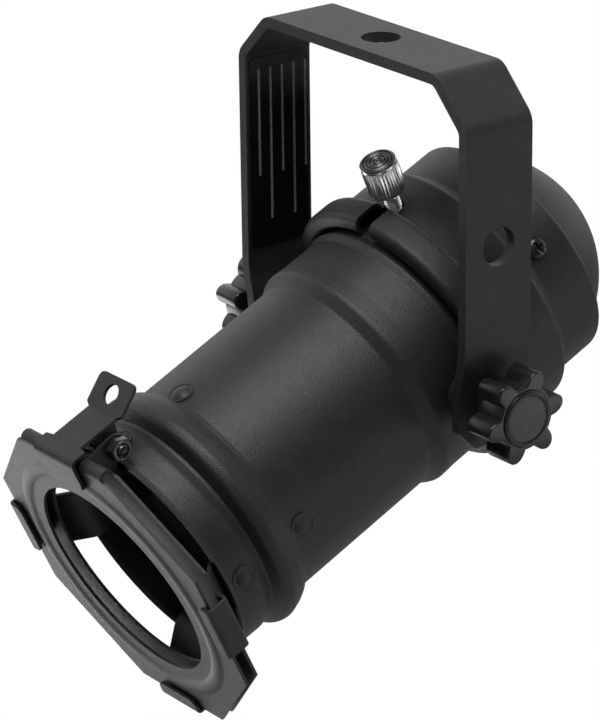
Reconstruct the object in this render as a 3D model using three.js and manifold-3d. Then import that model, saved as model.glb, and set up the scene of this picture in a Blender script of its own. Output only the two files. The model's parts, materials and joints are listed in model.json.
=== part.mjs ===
// Par can light for a 50 mm GU10 lamp, hanging from a flat-bar yoke.
// Millimetres. +Z up, the nose towards -Y. The origin is the centre of the hole in the yoke's top face.
//
// Everything on the can is made in the can's own frame: x across, y up and z forwards along its axis,
// with the tilt axis along x through its origin. One group turns that frame to the tilt at rest.

import * as THREE from 'three';
import { mergeVertices } from 'three/addons/utils/BufferGeometryUtils.js';
import Module from 'manifold-3d';

const wasm = await Module();
wasm.setup();

// ---------------------------------------------------------------- driving dimensions

const GAP = 0.3;                    // between pieces that touch
const TILT_DOWN = 25;               // degrees, nose below the horizontal at rest

const YOKE = {
  halfWidth: 44,                    // outside of a leg
  height: 81,                       // tilt axis to top face
  bar: 2.7,                         // thickness
  width: 20,
  chamfer: 10.8,                    // of the two top corners
  bend: 4,
  footHalfWidth: 41.9,              // outside of a leg at the pivot, after the joggle
  footBelow: 10.3,                  // tilt axis to the end of a leg
  footCut: 4.8,                     // of a leg's two end corners
  joggleLow: 5.6,
  joggleHigh: 12.6,
  mountHole: 4.8,                   // radius
  sideHoleHeight: 40,
};

const LABEL_PLATE = { halfWidth: 9, low: 18.5, high: 68, thickness: 0.2 };

// Radii, and places along the tilt axis, out from the middle of the can.
const PIVOT = {
  bolt: 2.5,
  boltEnd: 51.5,
  hole: 2.8,
  legHole: 3.2,
  head: { radius: 4.5, from: 27.6, to: 30.1 },
  spacer: { radius: 6.3, from: 32.8, to: 37.2 },
  frictionWasher: { radius: 9.2, from: 37.5, to: 38.9 },
  outerWasher: { radius: 5.5, from: 42.2, to: 43.2 },
};

const KNOB = {
  lobes: 6,
  turn: -15,                        // degrees about the tilt axis
  valley: 8,
  tip: 11.6,
  lobeHalf: 18,
  edge: 0.5,
  collar: 6.4,
  back: 43.5,
  lobesBack: 46.2,
  face: 54.6,
  insert: 4.2,
  insertEnd: 52.4,
  cap: 6.6,
  capSeat: 0.6,                     // depth of the cap's seat in the face
  capHeight: 1,
};

const CAN = {
  wall: 1,
  mouth: 77.2,
  mouthRadius: 31.1,
  noseRadius: 30.2,                 // these are radii of the middle of the wall
  noseStart: 69.4,
  beadRadius: 33,
  tubeRadius: 29.5,
  shoulderRadius: 31.3,
  neckRadius: 31.3,
  neckEnd: -24,
};

const COVER = {
  rollRadius: 36.7,
  sleeveRadius: 34,
  backRadius: 30.8,
  domeRadius: 29.9,
  domeCentre: -33.4,
  domeStart: -45.2,
  screwZ: -35.8,
  screws: 3,
};

const THUMB = {
  z: -18,
  turn: -4.5,                       // degrees about the can's axis
  stem: 2,
  stemEnd: 27.4,
  slot: 2.5,                        // half the width of the cover's slot
  knurl: 4.7,
  low: 39.4,
  high: 49.2,
  teeth: 36,
  bush: 3.6,
};

const FRAME = { apothem: 39.8, window: 27.4, ridge: 32.8, centreY: -1, front: 88, depth: 3.9, sheet: 0.8 };

const CLIP = { sheet: 0.9, width: 15, stripY: 27, flare: 6.8, reach: 41.1, tail: 49, lip: 37, bend: 1 };

const LATCH = {
  sheet: 0.9,
  width: 16,
  waist: 11,
  tabWidth: 14,
  half: 5.2,                        // outside of a cheek
  pinY: 35,
  pinZ: 76.8,
  pin: 1.5,
  plateY: 39.9,
  lipZ: 89,
  lipEnd: 30.6,
  eye: 2.5,
  cheek: 2.4,                       // radius round the pin
  ear: 3.2,
  earX: 6.55,
  bracketWidth: 14,
  bracketReach: 37.4,
};

const SPRING = { radius: 2.35, wire: 0.3, turns: 4.25, halfLength: 3 };

const RIVET = {
  rows: [53, 72.5],                 // places along the can
  shank: 1.3,
  hole: 1.6,
  head: 2.6,
  height: 0.8,
  grip: 4.6,
  tail: 2.2,
  tailHeight: 0.5,
};

const LAMP = { radius: 25.3, rim: 22.5, base: -29.4, pinSpacing: 10, pin: 2.2 };

const SCREW = { hole: 1.8, shank: 1.5, crossHalf: 1.5, crossHalfWidth: 0.35, crossDepth: 1.1 };

const THROUGH_WALL = [20, 40];      // radii inside and outside the whole of the can's wall

const FINE = 48;                    // facets round a large turned piece
const COARSE = 16;                  // facets round a small one

// ---------------------------------------------------------------- materials

function paint(color, roughness, metalness = 0) {
  return new THREE.MeshStandardMaterial({ color, roughness, metalness });
}

const BLACK_COAT = paint(0x1b1b1c, 0.62);
const BLACK_PLASTIC = paint(0x161617, 0.45);
const BLACK_SCREW = paint(0x0e0e0f, 0.3, 0.6);
const NICKEL = paint(0xc9c6c0, 0.25, 1);
const STEEL = paint(0x9a9a98, 0.35, 1);
const BRASS = paint(0xb5914c, 0.35, 1);
const CERAMIC = paint(0xe6e1d4, 0.5);
const GLASS = paint(0xdfe8ea, 0.08);
const MIRROR = paint(0xd5d5d8, 0.15, 1);
const LABEL = paint(0x121213, 0.35);

// ---------------------------------------------------------------- outlines

const point = (x, y) => new THREE.Vector2(x, y);

// The corners of an open path, replaced by arcs of one radius.
function rounded(path, radius, steps = 4) {
  const out = [path[0]];
  for (let i = 1; i < path.length - 1; i += 1) {
    const corner = path[i];
    const toLast = path[i - 1].clone().sub(corner);
    const toNext = path[i + 1].clone().sub(corner);
    const half = toLast.angleTo(toNext) / 2;
    const cut = Math.min(radius / Math.tan(half), toLast.length() * 0.49, toNext.length() * 0.49);
    const from = corner.clone().add(toLast.setLength(cut));
    const to = corner.clone().add(toNext.setLength(cut));
    for (let k = 0; k <= steps; k += 1) {
      const t = k / steps;
      const a = from.clone().lerp(corner, t);
      const b = corner.clone().lerp(to, t);
      out.push(a.lerp(b, t));
    }
  }
  out.push(path[path.length - 1]);
  return out;
}

// The outline of a sheet of one thickness whose middle follows an open path.
function sheetOutline(path, thickness) {
  const left = [];
  const right = [];
  path.forEach((here, i) => {
    const before = here.clone().sub(path[Math.max(i - 1, 0)]);
    const after = path[Math.min(i + 1, path.length - 1)].clone().sub(here);
    const a = (before.length() ? before : after).clone().normalize();
    const b = (after.length() ? after : before).clone().normalize();
    const along = a.clone().add(b).normalize();
    const reach = thickness / 2 / along.dot(a);
    const normal = point(-along.y, along.x).multiplyScalar(reach);
    left.push(here.clone().add(normal));
    right.unshift(here.clone().sub(normal));
  });
  return [...left, ...right];
}

function arcPoints(centre, radius, fromDeg, toDeg, steps) {
  const out = [];
  for (let k = 0; k <= steps; k += 1) {
    const angle = THREE.MathUtils.degToRad(fromDeg + ((toDeg - fromDeg) * k) / steps);
    out.push(point(centre.x + radius * Math.cos(angle), centre.y + radius * Math.sin(angle)));
  }
  return out;
}

// ---------------------------------------------------------------- solids

function solid(geometry) {
  const bare = geometry.index ? geometry.toNonIndexed() : geometry.clone();
  bare.deleteAttribute('normal');
  bare.deleteAttribute('uv');
  const welded = mergeVertices(bare, 1e-4);
  const corners = welded.index.array;
  const kept = [];
  for (let i = 0; i < corners.length; i += 3) {
    const [a, b, c] = [corners[i], corners[i + 1], corners[i + 2]];
    if (a !== b && b !== c && c !== a) kept.push(a, b, c);
  }
  const vertProperties = Float32Array.from(welded.attributes.position.array);
  const closed = (triVerts) => new wasm.Manifold(new wasm.Mesh({ numProp: 3, vertProperties, triVerts }));
  const made = closed(Uint32Array.from(kept));
  return made.volume() > 0 ? made : closed(Uint32Array.from(kept).reverse());
}

function toGeometry(made) {
  const mesh = made.getMesh();
  const geometry = new THREE.BufferGeometry();
  geometry.setAttribute('position', new THREE.BufferAttribute(Float32Array.from(mesh.vertProperties), 3));
  geometry.setIndex(new THREE.BufferAttribute(Uint32Array.from(mesh.triVerts), 1));
  geometry.computeVertexNormals();
  return geometry;
}

// A ring or disc turned about z. Each profile point is (radius, z).
function turned(profile, facets = FINE) {
  const onAxis = profile[0].x === 0 && profile[profile.length - 1].x === 0;
  const closed = onAxis ? profile : [...profile, profile[0].clone()];
  return solid(new THREE.LatheGeometry(closed, facets).rotateX(Math.PI / 2));
}

function rod(radius, low, high, facets = COARSE) {
  const geometry = new THREE.CylinderGeometry(radius, radius, high - low, facets);
  return solid(geometry.rotateX(Math.PI / 2).translate(0, 0, (low + high) / 2));
}

function block(low, high) {
  const size = high.map((value, i) => value - low[i]);
  const middle = high.map((value, i) => (value + low[i]) / 2);
  return solid(new THREE.BoxGeometry(...size).translate(...middle));
}

// An outline in (z, y) pulled along x to both sides of the middle.
function pulledAcross(outline, width, middle = 0) {
  const geometry = new THREE.ExtrudeGeometry(new THREE.Shape(outline), { depth: width, bevelEnabled: false });
  return solid(geometry.rotateY(-Math.PI / 2).translate(middle + width / 2, 0, 0));
}

// A solid made about z, stood on x or y instead.
const alongX = (made) => made.rotate([0, 90, 0]);
const alongY = (made) => made.rotate([-90, 0, 0]);

const aboutAxis = (made, degrees) => made.rotate([0, 0, degrees]);

function join(...solids) {
  return solids.reduce((all, next) => all.add(next));
}

function cut(made, ...tools) {
  return tools.reduce((left, tool) => left.subtract(tool), made);
}

function piece(name, made, material) {
  const mesh = new THREE.Mesh(toGeometry(made), material);
  mesh.name = name;
  return mesh;
}

// ---------------------------------------------------------------- yoke

function yoke() {
  const middle = YOKE.halfWidth - YOKE.bar / 2;
  const foot = YOKE.footHalfWidth - YOKE.bar / 2;
  const top = YOKE.height - YOKE.bar / 2;
  const corner = YOKE.chamfer - YOKE.bar / 2 * Math.tan(Math.PI / 8);
  const leg = [
    point(foot, -YOKE.footBelow),
    point(foot, YOKE.joggleLow),
    point(middle, YOKE.joggleHigh),
    point(middle, top - corner),
    point(middle - corner, top),
  ];
  const mirrored = leg.map((p) => point(-p.x, p.y)).reverse();
  const outline = sheetOutline(rounded([...leg, ...mirrored], YOKE.bend), YOKE.bar);
  const bar = new THREE.ExtrudeGeometry(new THREE.Shape(outline), { depth: YOKE.width, bevelEnabled: false });
  const strap = solid(bar.rotateX(Math.PI / 2).translate(0, YOKE.width / 2, 0));

  const far = YOKE.halfWidth + 5;
  const cutSide = YOKE.footCut * Math.SQRT2;
  const footCorners = [-1, 1].map((side) => {
    const corners = new THREE.BoxGeometry(2 * far, cutSide, cutSide).rotateX(Math.PI / 4);
    return solid(corners.translate(0, side * YOKE.width / 2, -YOKE.footBelow));
  });
  const topHole = rod(YOKE.mountHole, top - 5, top + 5, FINE / 2);
  const sideHole = alongX(rod(YOKE.mountHole, YOKE.footHalfWidth - 5, far, FINE / 2));
  const pivotHoles = alongX(rod(PIVOT.legHole, -far, far));
  return cut(strap, ...footCorners, topHole, sideHole.translate([0, 0, YOKE.sideHoleHeight]), pivotHoles);
}

function ratingLabel() {
  const { halfWidth, low, high, thickness } = LABEL_PLATE;
  const face = -YOKE.halfWidth + YOKE.bar + GAP / 3;
  return block([face, -halfWidth, low], [face + thickness, halfWidth, high]);
}

// ---------------------------------------------------------------- pivots

// The right-hand pivot, from the can outwards along +x; the left-hand one is the same turned about z.
function pivotBolt() {
  const { head } = PIVOT;
  return alongX(join(rod(head.radius, head.from, head.to), rod(PIVOT.bolt, head.to - 1, PIVOT.boltEnd)));
}

function ring(inner, outer, low, high) {
  return cut(rod(outer, low, high, FINE / 2), rod(inner, low - 1, high + 1));
}

function onBolt({ radius, from, to }) {
  return alongX(ring(PIVOT.hole, radius, from, to));
}

// Round lobes on a drum. Each lobe takes up KNOB.lobeHalf degrees to both sides of its middle.
function knobOutline() {
  const steps = KNOB.lobes * 12;
  const pitch = 360 / KNOB.lobes;
  const out = [];
  for (let k = 0; k < steps; k += 1) {
    const degrees = (360 * k) / steps;
    const offset = Math.abs(((degrees + pitch / 2) % pitch) - pitch / 2) / KNOB.lobeHalf;
    const rise = Math.max(1 - offset ** 2, 0) ** 0.8;
    const radius = KNOB.valley + (KNOB.tip - KNOB.valley) * rise;
    const angle = THREE.MathUtils.degToRad(degrees);
    out.push(point(radius * Math.cos(angle), radius * Math.sin(angle)));
  }
  return out;
}

function knob() {
  const lobed = new THREE.ExtrudeGeometry(new THREE.Shape(knobOutline()), {
    depth: KNOB.face - KNOB.lobesBack - 2 * KNOB.edge,
    bevelSize: KNOB.edge,
    bevelOffset: -KNOB.edge,
    bevelThickness: KNOB.edge,
    bevelSegments: 1,
  });
  const lobes = solid(lobed.translate(0, 0, KNOB.lobesBack + KNOB.edge));
  const collar = rod(KNOB.collar, KNOB.back, KNOB.lobesBack + 1, FINE / 2);
  const bore = rod(KNOB.insert + GAP, KNOB.back - 1, KNOB.insertEnd + 0.4);
  const capSeat = rod(KNOB.cap + GAP, KNOB.face - KNOB.capSeat, KNOB.face + 1, FINE / 2);
  return alongX(cut(join(lobes, collar), bore, capSeat));
}

function knobInsert() {
  return alongX(ring(PIVOT.hole, KNOB.insert, KNOB.back + 0.2, KNOB.insertEnd));
}

function knobCap() {
  const low = KNOB.face - KNOB.capSeat + GAP;
  const high = low + KNOB.capHeight;
  const profile = [
    point(0, low),
    point(KNOB.cap, low),
    point(KNOB.cap, high - 0.2),
    point(KNOB.cap - 0.4, high),
    point(0, high),
  ];
  return alongX(turned(profile, FINE / 2));
}

// ---------------------------------------------------------------- can

function frontBarrel() {
  const path = [
    point(CAN.mouthRadius, CAN.mouth),
    point(CAN.noseRadius, CAN.mouth - 1.6),
    point(CAN.noseRadius, CAN.noseStart),
    point(CAN.tubeRadius, CAN.noseStart - 1.8),
    point(CAN.beadRadius, 65.4),
    point(CAN.beadRadius, 58.6),
    point(CAN.tubeRadius, 56.4),
    point(CAN.tubeRadius, 12.5),
    point(CAN.shoulderRadius + 0.5, 9.4),
    point(CAN.shoulderRadius, 7.8),
    point(CAN.shoulderRadius, -4),
    point(CAN.shoulderRadius + 0.7, -6),
    point(CAN.neckRadius, -7.6),
    point(CAN.neckRadius, CAN.neckEnd),
  ];
  const tube = turned(sheetOutline(path, CAN.wall));
  const pivotHoles = alongX(rod(PIVOT.hole, -40, 40));
  const bushHole = atThumbscrew(rod(THUMB.stem + GAP, ...THROUGH_WALL));
  return cut(tube, pivotHoles, bushHole, ...rivetHoles());
}

function rivetHole(row) {
  return alongY(rod(RIVET.hole, ...THROUGH_WALL)).translate([0, 0, row]);
}

function rivetHoles() {
  const holes = [];
  for (const row of RIVET.rows) {
    for (const turn of [0, 90, 180, 270]) {
      holes.push(aboutAxis(rivetHole(row), turn));
    }
  }
  return holes;
}

// A rivet through the can and one clip, made at the top of the can.
function rivet(row) {
  const wallRadius = row > CAN.noseStart ? CAN.noseRadius : CAN.tubeRadius;
  const seat = wallRadius + CAN.wall / 2 + GAP / 2;
  const grip = seat - RIVET.grip;
  const outline = [
    point(0, grip - RIVET.tailHeight),
    point(RIVET.tail, grip - RIVET.tailHeight),
    point(RIVET.tail, grip),
    point(RIVET.shank, grip),
    point(RIVET.shank, seat),
    point(RIVET.head, seat),
    point(RIVET.head * 0.72, seat + RIVET.height * 0.65),
    point(0, seat + RIVET.height),
  ];
  return alongY(turned(outline, COARSE)).translate([0, 0, row]);
}

// ---------------------------------------------------------------- filter clips, made at the top of the can

// A clip's strip lies in the can, flares out of its mouth and stands up behind the filter frame.
function armPath(reach) {
  const plate = FRAME.front - FRAME.depth - GAP - CLIP.sheet / 2;
  return [
    point(CLIP.tail, CLIP.stripY),
    point(CAN.mouth - 0.2, CLIP.stripY),
    point(plate, CLIP.stripY + CLIP.flare),
    point(plate, reach),
  ];
}

function clip(reach) {
  const lipZ = FRAME.front + GAP + CLIP.sheet / 2;
  const lipY = reach - (CLIP.reach - CLIP.lip);
  const path = [...armPath(reach), point(lipZ, reach), point(lipZ, lipY)];
  const strap = pulledAcross(sheetOutline(rounded(path, CLIP.bend), CLIP.sheet), CLIP.width);
  return cut(strap, ...RIVET.rows.map(rivetHole));
}

function latchEar() {
  const face = FRAME.front - FRAME.depth - GAP;
  const back = LATCH.pinZ - LATCH.ear;
  const low = 32.7;
  const outline = [
    point(back + 0.6, low),
    point(78.3, low),
    point(79, 29.6),
    point(face, 34.2),
    point(face, LATCH.bracketReach),
    ...arcPoints(point(LATCH.pinZ, LATCH.pinY), LATCH.ear, 75, 170, 6),
  ];
  return pulledAcross(outline, CLIP.sheet);
}

function latchPinHole() {
  return onLatchPin(rod(LATCH.pin + GAP, -10, 10));
}

function latchBracket() {
  const path = rounded(armPath(LATCH.bracketReach), CLIP.bend);
  const strap = pulledAcross(sheetOutline(path, CLIP.sheet), LATCH.bracketWidth);
  const ears = [-LATCH.earX, LATCH.earX].map((x) => latchEar().translate([x, 0, 0]));
  return cut(join(strap, ...ears), latchPinHole(), ...RIVET.rows.map(rivetHole));
}

// Cutters that leave a strip of one half width between two places along the can.
function besideStrip(half, from, to) {
  const [low, high] = [LATCH.plateY - 3, LATCH.plateY + 8];
  return [
    block([-LATCH.width, low, from], [-half, high, to]),
    block([half, low, from], [LATCH.width, high, to]),
  ];
}

function latch() {
  const heel = point(73, LATCH.plateY);
  const tabEnd = point(65.2, LATCH.plateY + 4.7);
  const path = [point(LATCH.lipZ, LATCH.lipEnd), point(LATCH.lipZ, LATCH.plateY), heel, tabEnd];
  const strap = pulledAcross(sheetOutline(rounded(path, CLIP.bend), LATCH.sheet), LATCH.width);

  const waist = besideStrip(LATCH.waist / 2, heel.x - 0.6, 84.6);
  const tabSides = besideStrip(LATCH.tabWidth / 2, tabEnd.x - 5, heel.x);
  const lipCorners = [-1, 1].map((side) => (
    solid(new THREE.BoxGeometry(5, 5, 5).rotateZ(Math.PI / 4).translate(
      side * (LATCH.width / 2 + 0.6),
      LATCH.lipEnd - 0.6,
      LATCH.lipZ,
    ))
  ));
  const tabAngle = THREE.MathUtils.radToDeg(Math.atan2(tabEnd.y - heel.y, heel.x - tabEnd.x));
  const eye = alongY(rod(LATCH.eye, -4, 4)).rotate([tabAngle, 0, 0]).translate([0, LATCH.plateY + 2.6, 69]);

  const cheekOutline = [
    point(80.6, LATCH.plateY),
    point(73.4, LATCH.plateY),
    ...arcPoints(point(LATCH.pinZ, LATCH.pinY), LATCH.cheek, 190, 350, 8),
  ];
  const cheekX = LATCH.half - LATCH.sheet / 2;
  const cheeks = [-cheekX, cheekX].map((x) => pulledAcross(cheekOutline, LATCH.sheet, x));
  return cut(join(cut(strap, ...waist, ...tabSides, ...lipCorners, eye), ...cheeks), latchPinHole());
}

function onLatchPin(made) {
  return alongX(made).translate([0, LATCH.pinY, LATCH.pinZ]);
}

function latchPin() {
  return onLatchPin(join(rod(2.7, -9.2, -7.3), rod(LATCH.pin, -8, 10.6)));
}

function latchNut() {
  const hex = rod(3.1, 7.3, 9.8, 6);
  return onLatchPin(cut(hex, rod(LATCH.pin + GAP, 6, 12)));
}

class SpringWire extends THREE.Curve {
  getPoint(t) {
    const angle = 2 * Math.PI * SPRING.turns * t;
    const { radius, halfLength } = SPRING;
    return new THREE.Vector3(radius * Math.cos(angle), radius * Math.sin(angle), halfLength * (2 * t - 1));
  }
}

function latchSpring() {
  const section = new THREE.Shape(arcPoints(point(0, 0), SPRING.wire, 0, 300, 5));
  const steps = Math.round(SPRING.turns * 16);
  const coil = new THREE.ExtrudeGeometry(section, { steps, extrudePath: new SpringWire() });
  return onLatchPin(solid(coil));
}

// ---------------------------------------------------------------- filter frame

function octagonPlate(low, high) {
  const across = 2 * FRAME.apothem;
  const turnedUp = new THREE.CylinderGeometry(1, 1, high - low, 8, 1);
  const corner = FRAME.apothem / Math.cos(Math.PI / 8);
  turnedUp.rotateY(Math.PI / 8).rotateX(Math.PI / 2).scale(corner, corner, 1);
  const plate = solid(turnedUp.translate(0, FRAME.centreY, (low + high) / 2));
  const top = FRAME.centreY + FRAME.apothem;
  return cut(plate, block([-across, top - FRAME.depth / 2, low - 1], [across, top + 5, high + 1]));
}

function filterFrame() {
  const back = FRAME.front - FRAME.depth;
  const top = FRAME.centreY + FRAME.apothem;
  const foldY = top - FRAME.depth / 2;
  const middle = FRAME.front - FRAME.depth / 2;
  const bend = (FRAME.depth - FRAME.sheet) / 2;
  const fold = [
    point(back + FRAME.sheet / 2, foldY - 1),
    ...arcPoints(point(middle, foldY), bend, 180, 0, 8),
    point(FRAME.front - FRAME.sheet / 2, foldY - 1),
  ];
  const sideLength = 2 * FRAME.apothem * Math.tan(Math.PI / 8);
  const folded = pulledAcross(sheetOutline(fold, FRAME.sheet), sideLength);
  const window = rod(FRAME.window, back - 1, FRAME.front + 1, FINE).translate([0, FRAME.centreY, 0]);
  const ridgeProfile = [
    point(FRAME.ridge - 1.6, FRAME.front - 0.2),
    point(FRAME.ridge + 1.6, FRAME.front - 0.2),
    point(FRAME.ridge, FRAME.front + 0.5),
  ];
  const ridge = turned(ridgeProfile).translate([0, FRAME.centreY, 0]);
  const plates = join(
    octagonPlate(back, back + FRAME.sheet),
    octagonPlate(FRAME.front - FRAME.sheet, FRAME.front),
    folded,
  );
  const underClips = [0, 90, 180, 270].map((turn) => (
    aboutAxis(block([-9, 28, FRAME.front], [9, 45, FRAME.front + 2]), turn)
  ));
  return cut(join(plates, cut(ridge, ...underClips)), window);
}

// ---------------------------------------------------------------- rear cover

function rearHousing() {
  const apex = COVER.domeCentre - COVER.domeRadius;
  const startSine = (COVER.domeStart - COVER.domeCentre) / COVER.domeRadius;
  const startAngle = THREE.MathUtils.radToDeg(Math.asin(startSine));
  const dome = arcPoints(point(0, COVER.domeCentre), COVER.domeRadius, startAngle, -90, 9);
  dome[dome.length - 1] = point(0, apex);
  const wall = [
    point(33.2, -8),
    point(COVER.rollRadius, -8.4),
    point(COVER.rollRadius, -14.4),
    point(COVER.sleeveRadius, -16.2),
    point(COVER.sleeveRadius, -28.4),
    point(COVER.backRadius, -32),
    point(COVER.backRadius, COVER.domeStart + 0.9),
    dome[0],
  ];
  const path = [...wall, ...dome.slice(1)].reverse();
  const outline = sheetOutline(path, CAN.wall);
  outline[0].x = 0;
  outline[outline.length - 1].x = 0;
  const shell = turned(outline);
  const slot = atThumbscrew(join(
    block([-THUMB.slot, THUMB.z, 30], [THUMB.slot, 0, 42]),
    rod(THUMB.slot, 30, 42),
  ));
  const screwHoles = atCoverScrews(rod(SCREW.hole, ...THROUGH_WALL));
  return cut(shell, slot, ...screwHoles, onGland(rod(GLAND.hole, ...THROUGH_WALL)));
}

// Copies of a solid made about z, stood on the cover's side at each of its screws.
function atCoverScrews(made) {
  const copies = [];
  for (let k = 0; k < COVER.screws; k += 1) {
    const angle = 60 + (360 * k) / COVER.screws;
    copies.push(aboutAxis(alongY(made).translate([0, 0, COVER.screwZ]), -angle));
  }
  return copies;
}

function crossSlot(top) {
  const { crossHalf, crossHalfWidth, crossDepth } = SCREW;
  const long = block([-crossHalf, -crossHalfWidth, top - crossDepth], [crossHalf, crossHalfWidth, top + 1]);
  return join(long, long.rotate([0, 0, 90]));
}

function housingScrew() {
  const seat = COVER.backRadius + CAN.wall / 2 + 0.2;
  const head = [
    point(0, seat - 4),
    point(SCREW.shank, seat - 4),
    point(SCREW.shank, seat),
    point(2.7, seat),
    point(2.7, seat + 0.8),
    point(1.6, seat + 1.6),
    point(0, seat + 1.8),
  ];
  return cut(turned(head, COARSE), crossSlot(seat + 1.8));
}

const GLAND = { hole: 4.6, flange: 7, bore: 2.6 };

// A solid made about z from the dome's centre outwards, turned to the low back of the dome.
function onGland(made) {
  return made.rotate([130, 0, 0]).translate([0, 0, COVER.domeCentre]);
}

function cableGland() {
  const seat = COVER.domeRadius + CAN.wall / 2 + GAP;
  const profile = [
    point(GLAND.bore, seat - 5.4),
    point(GLAND.hole - GAP, seat - 5.4),
    point(GLAND.hole - GAP, seat),
    point(GLAND.flange, seat),
    point(GLAND.flange, seat + 1.4),
    point(5.6, seat + 2),
    point(4.6, seat + 6),
    point(GLAND.bore, seat + 6),
  ];
  return onGland(turned(profile, FINE / 2));
}

function glandNut() {
  const low = COVER.domeRadius - CAN.wall / 2 - 4.6;
  return onGland(cut(rod(7.2, low, low + 2.6, 6), rod(GLAND.hole, low - 1, low + 4)));
}

// ---------------------------------------------------------------- inside the rear cover

const PLATE = { z: -43, sheet: 1, tabRadius: 29.5, tabEnd: -33, earthX: 16 };
const HOLDER = { back: -41.7, front: -29.8, radius: 14, screwY: 10.4 };

function lampCarrier() {
  const { tabRadius, tabEnd, sheet } = PLATE;
  const tabTube = rod(tabRadius, PLATE.z, tabEnd, FINE);
  const ringTabs = cut(tabTube, rod(tabRadius - sheet, PLATE.z - 1, tabEnd + 1, FINE));
  const tabs = atCoverScrews(block([-5, -6, 25], [5, 8, 31])).map((space) => ringTabs.intersect(space));
  const screwHole = rod(SCREW.hole, PLATE.z - 1, PLATE.z + 2);
  const plate = cut(
    rod(tabRadius, PLATE.z, PLATE.z + sheet, FINE),
    ...[0, 120, 240].map((turn) => aboutAxis(block([-9, 19, PLATE.z - 1], [9, 31, PLATE.z + 2]), turn)),
    rod(6, PLATE.z - 1, PLATE.z + 2),
    screwHole.translate([0, HOLDER.screwY, 0]),
    screwHole.translate([0, -HOLDER.screwY, 0]),
    screwHole.translate([PLATE.earthX, 0, 0]),
  );
  return cut(join(plate, ...tabs), ...atCoverScrews(rod(SCREW.hole, ...THROUGH_WALL)));
}

function lampholder() {
  const body = turned([
    point(0, HOLDER.back),
    point(HOLDER.radius - 1, HOLDER.back),
    point(HOLDER.radius, HOLDER.back + 1),
    point(HOLDER.radius, HOLDER.front - 1),
    point(HOLDER.radius - 1, HOLDER.front),
    point(0, HOLDER.front),
  ], FINE / 2);
  const pinWells = [-1, 1].map((side) => (
    rod(LAMP.pin + 0.8, HOLDER.front - 9, HOLDER.front + 1).translate([side * LAMP.pinSpacing / 2, 0, 0])
  ));
  const screwWells = [-1, 1].map((side) => join(
    rod(SCREW.hole, HOLDER.back - 1, HOLDER.front + 1),
    rod(2.9, HOLDER.front - 3, HOLDER.front + 1),
  ).translate([0, side * HOLDER.screwY, 0]));
  return cut(body, ...pinWells, ...screwWells);
}

function holderScrew(side) {
  const top = HOLDER.front - 0.7;
  const screw = join(rod(2.6, top - 2, top), rod(SCREW.shank, PLATE.z - 3, top - 1));
  return cut(screw, crossSlot(top)).translate([0, side * HOLDER.screwY, 0]);
}

function earthScrew() {
  const head = rod(2.8, PLATE.z - 2.3, PLATE.z - GAP);
  return join(head, rod(SCREW.shank, PLATE.z - 1, PLATE.z + 4)).translate([PLATE.earthX, 0, 0]);
}

function terminalBlock() {
  const high = PLATE.z - 1;
  const body = block([-20.5, -9, high - 8], [-12.5, 9, high]);
  const wires = [-6, 0, 6].map((y) => alongX(rod(1.6, -22, -11)).translate([0, y, high - 4]));
  return cut(body, ...wires);
}

function lampBody() {
  const bowl = [
    point(0, LAMP.base),
    point(11.5, LAMP.base),
    point(12.5, LAMP.base + 2),
    point(12.8, -16),
    point(16, -11),
    point(20, -2),
    point(23, 8),
    point(24.8, 17),
    point(LAMP.radius, 19.2),
    point(LAMP.radius, LAMP.rim),
    point(LAMP.radius - 1.2, LAMP.rim),
    point(LAMP.radius - 1.2, 19.6),
    point(23, 16.6),
    point(21.2, 8),
    point(18.2, -2),
    point(13.6, -10.4),
    point(9, -14),
    point(0, -14),
  ];
  return turned(bowl);
}

function lampPin(side) {
  const low = LAMP.base - 7.5;
  const profile = [
    point(0, low),
    point(LAMP.pin, low),
    point(LAMP.pin, low + 2.2),
    point(1.5, low + 2.8),
    point(1.5, LAMP.base - GAP),
    point(0, LAMP.base - GAP),
  ];
  return turned(profile, COARSE).translate([side * LAMP.pinSpacing / 2, 0, 0]);
}

function lampCapsule() {
  const low = -14 + GAP;
  const profile = [
    point(0, low),
    point(4, low),
    point(4, low + 9),
    point(5, low + 11),
    point(5, low + 19),
    point(3.4, low + 22.5),
    point(0, low + 24),
  ];
  return turned(profile, COARSE);
}

function lampGlass() {
  return rod(LAMP.radius - 1.2 - GAP, 20, LAMP.rim - 0.4, FINE);
}

// ---------------------------------------------------------------- thumbscrew

// A solid made about z, stood on the can where the thumbscrew is.
function atThumbscrew(made) {
  return aboutAxis(alongY(made).translate([0, 0, THUMB.z]), THUMB.turn);
}

function knurledHead() {
  const outline = [];
  for (let k = 0; k < THUMB.teeth * 2; k += 1) {
    const angle = (Math.PI * k) / THUMB.teeth;
    const radius = THUMB.knurl - (k % 2 ? 0.3 : 0);
    outline.push(point(radius * Math.cos(angle), radius * Math.sin(angle)));
  }
  const depth = THUMB.high - THUMB.low - 2;
  const grip = new THREE.ExtrudeGeometry(new THREE.Shape(outline), { depth, bevelEnabled: false });
  return solid(grip.translate(0, 0, THUMB.low + 1));
}

function thumbscrew() {
  const core = turned([
    point(0, THUMB.stemEnd),
    point(THUMB.stem, THUMB.stemEnd),
    point(THUMB.stem, THUMB.low),
    point(THUMB.knurl - 0.9, THUMB.low),
    point(THUMB.knurl - 0.3, THUMB.low + 0.6),
    point(THUMB.knurl - 0.35, THUMB.high - 0.5),
    point(THUMB.knurl - 0.8, THUMB.high),
    point(0, THUMB.high),
  ], FINE / 2);
  return atThumbscrew(join(core, knurledHead()));
}

function thumbscrewBush() {
  const high = CAN.neckRadius - CAN.wall / 2 - 0.5;
  return atThumbscrew(ring(THUMB.stem + GAP, THUMB.bush, high - 3.4, high));
}

// ---------------------------------------------------------------- assembly

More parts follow.
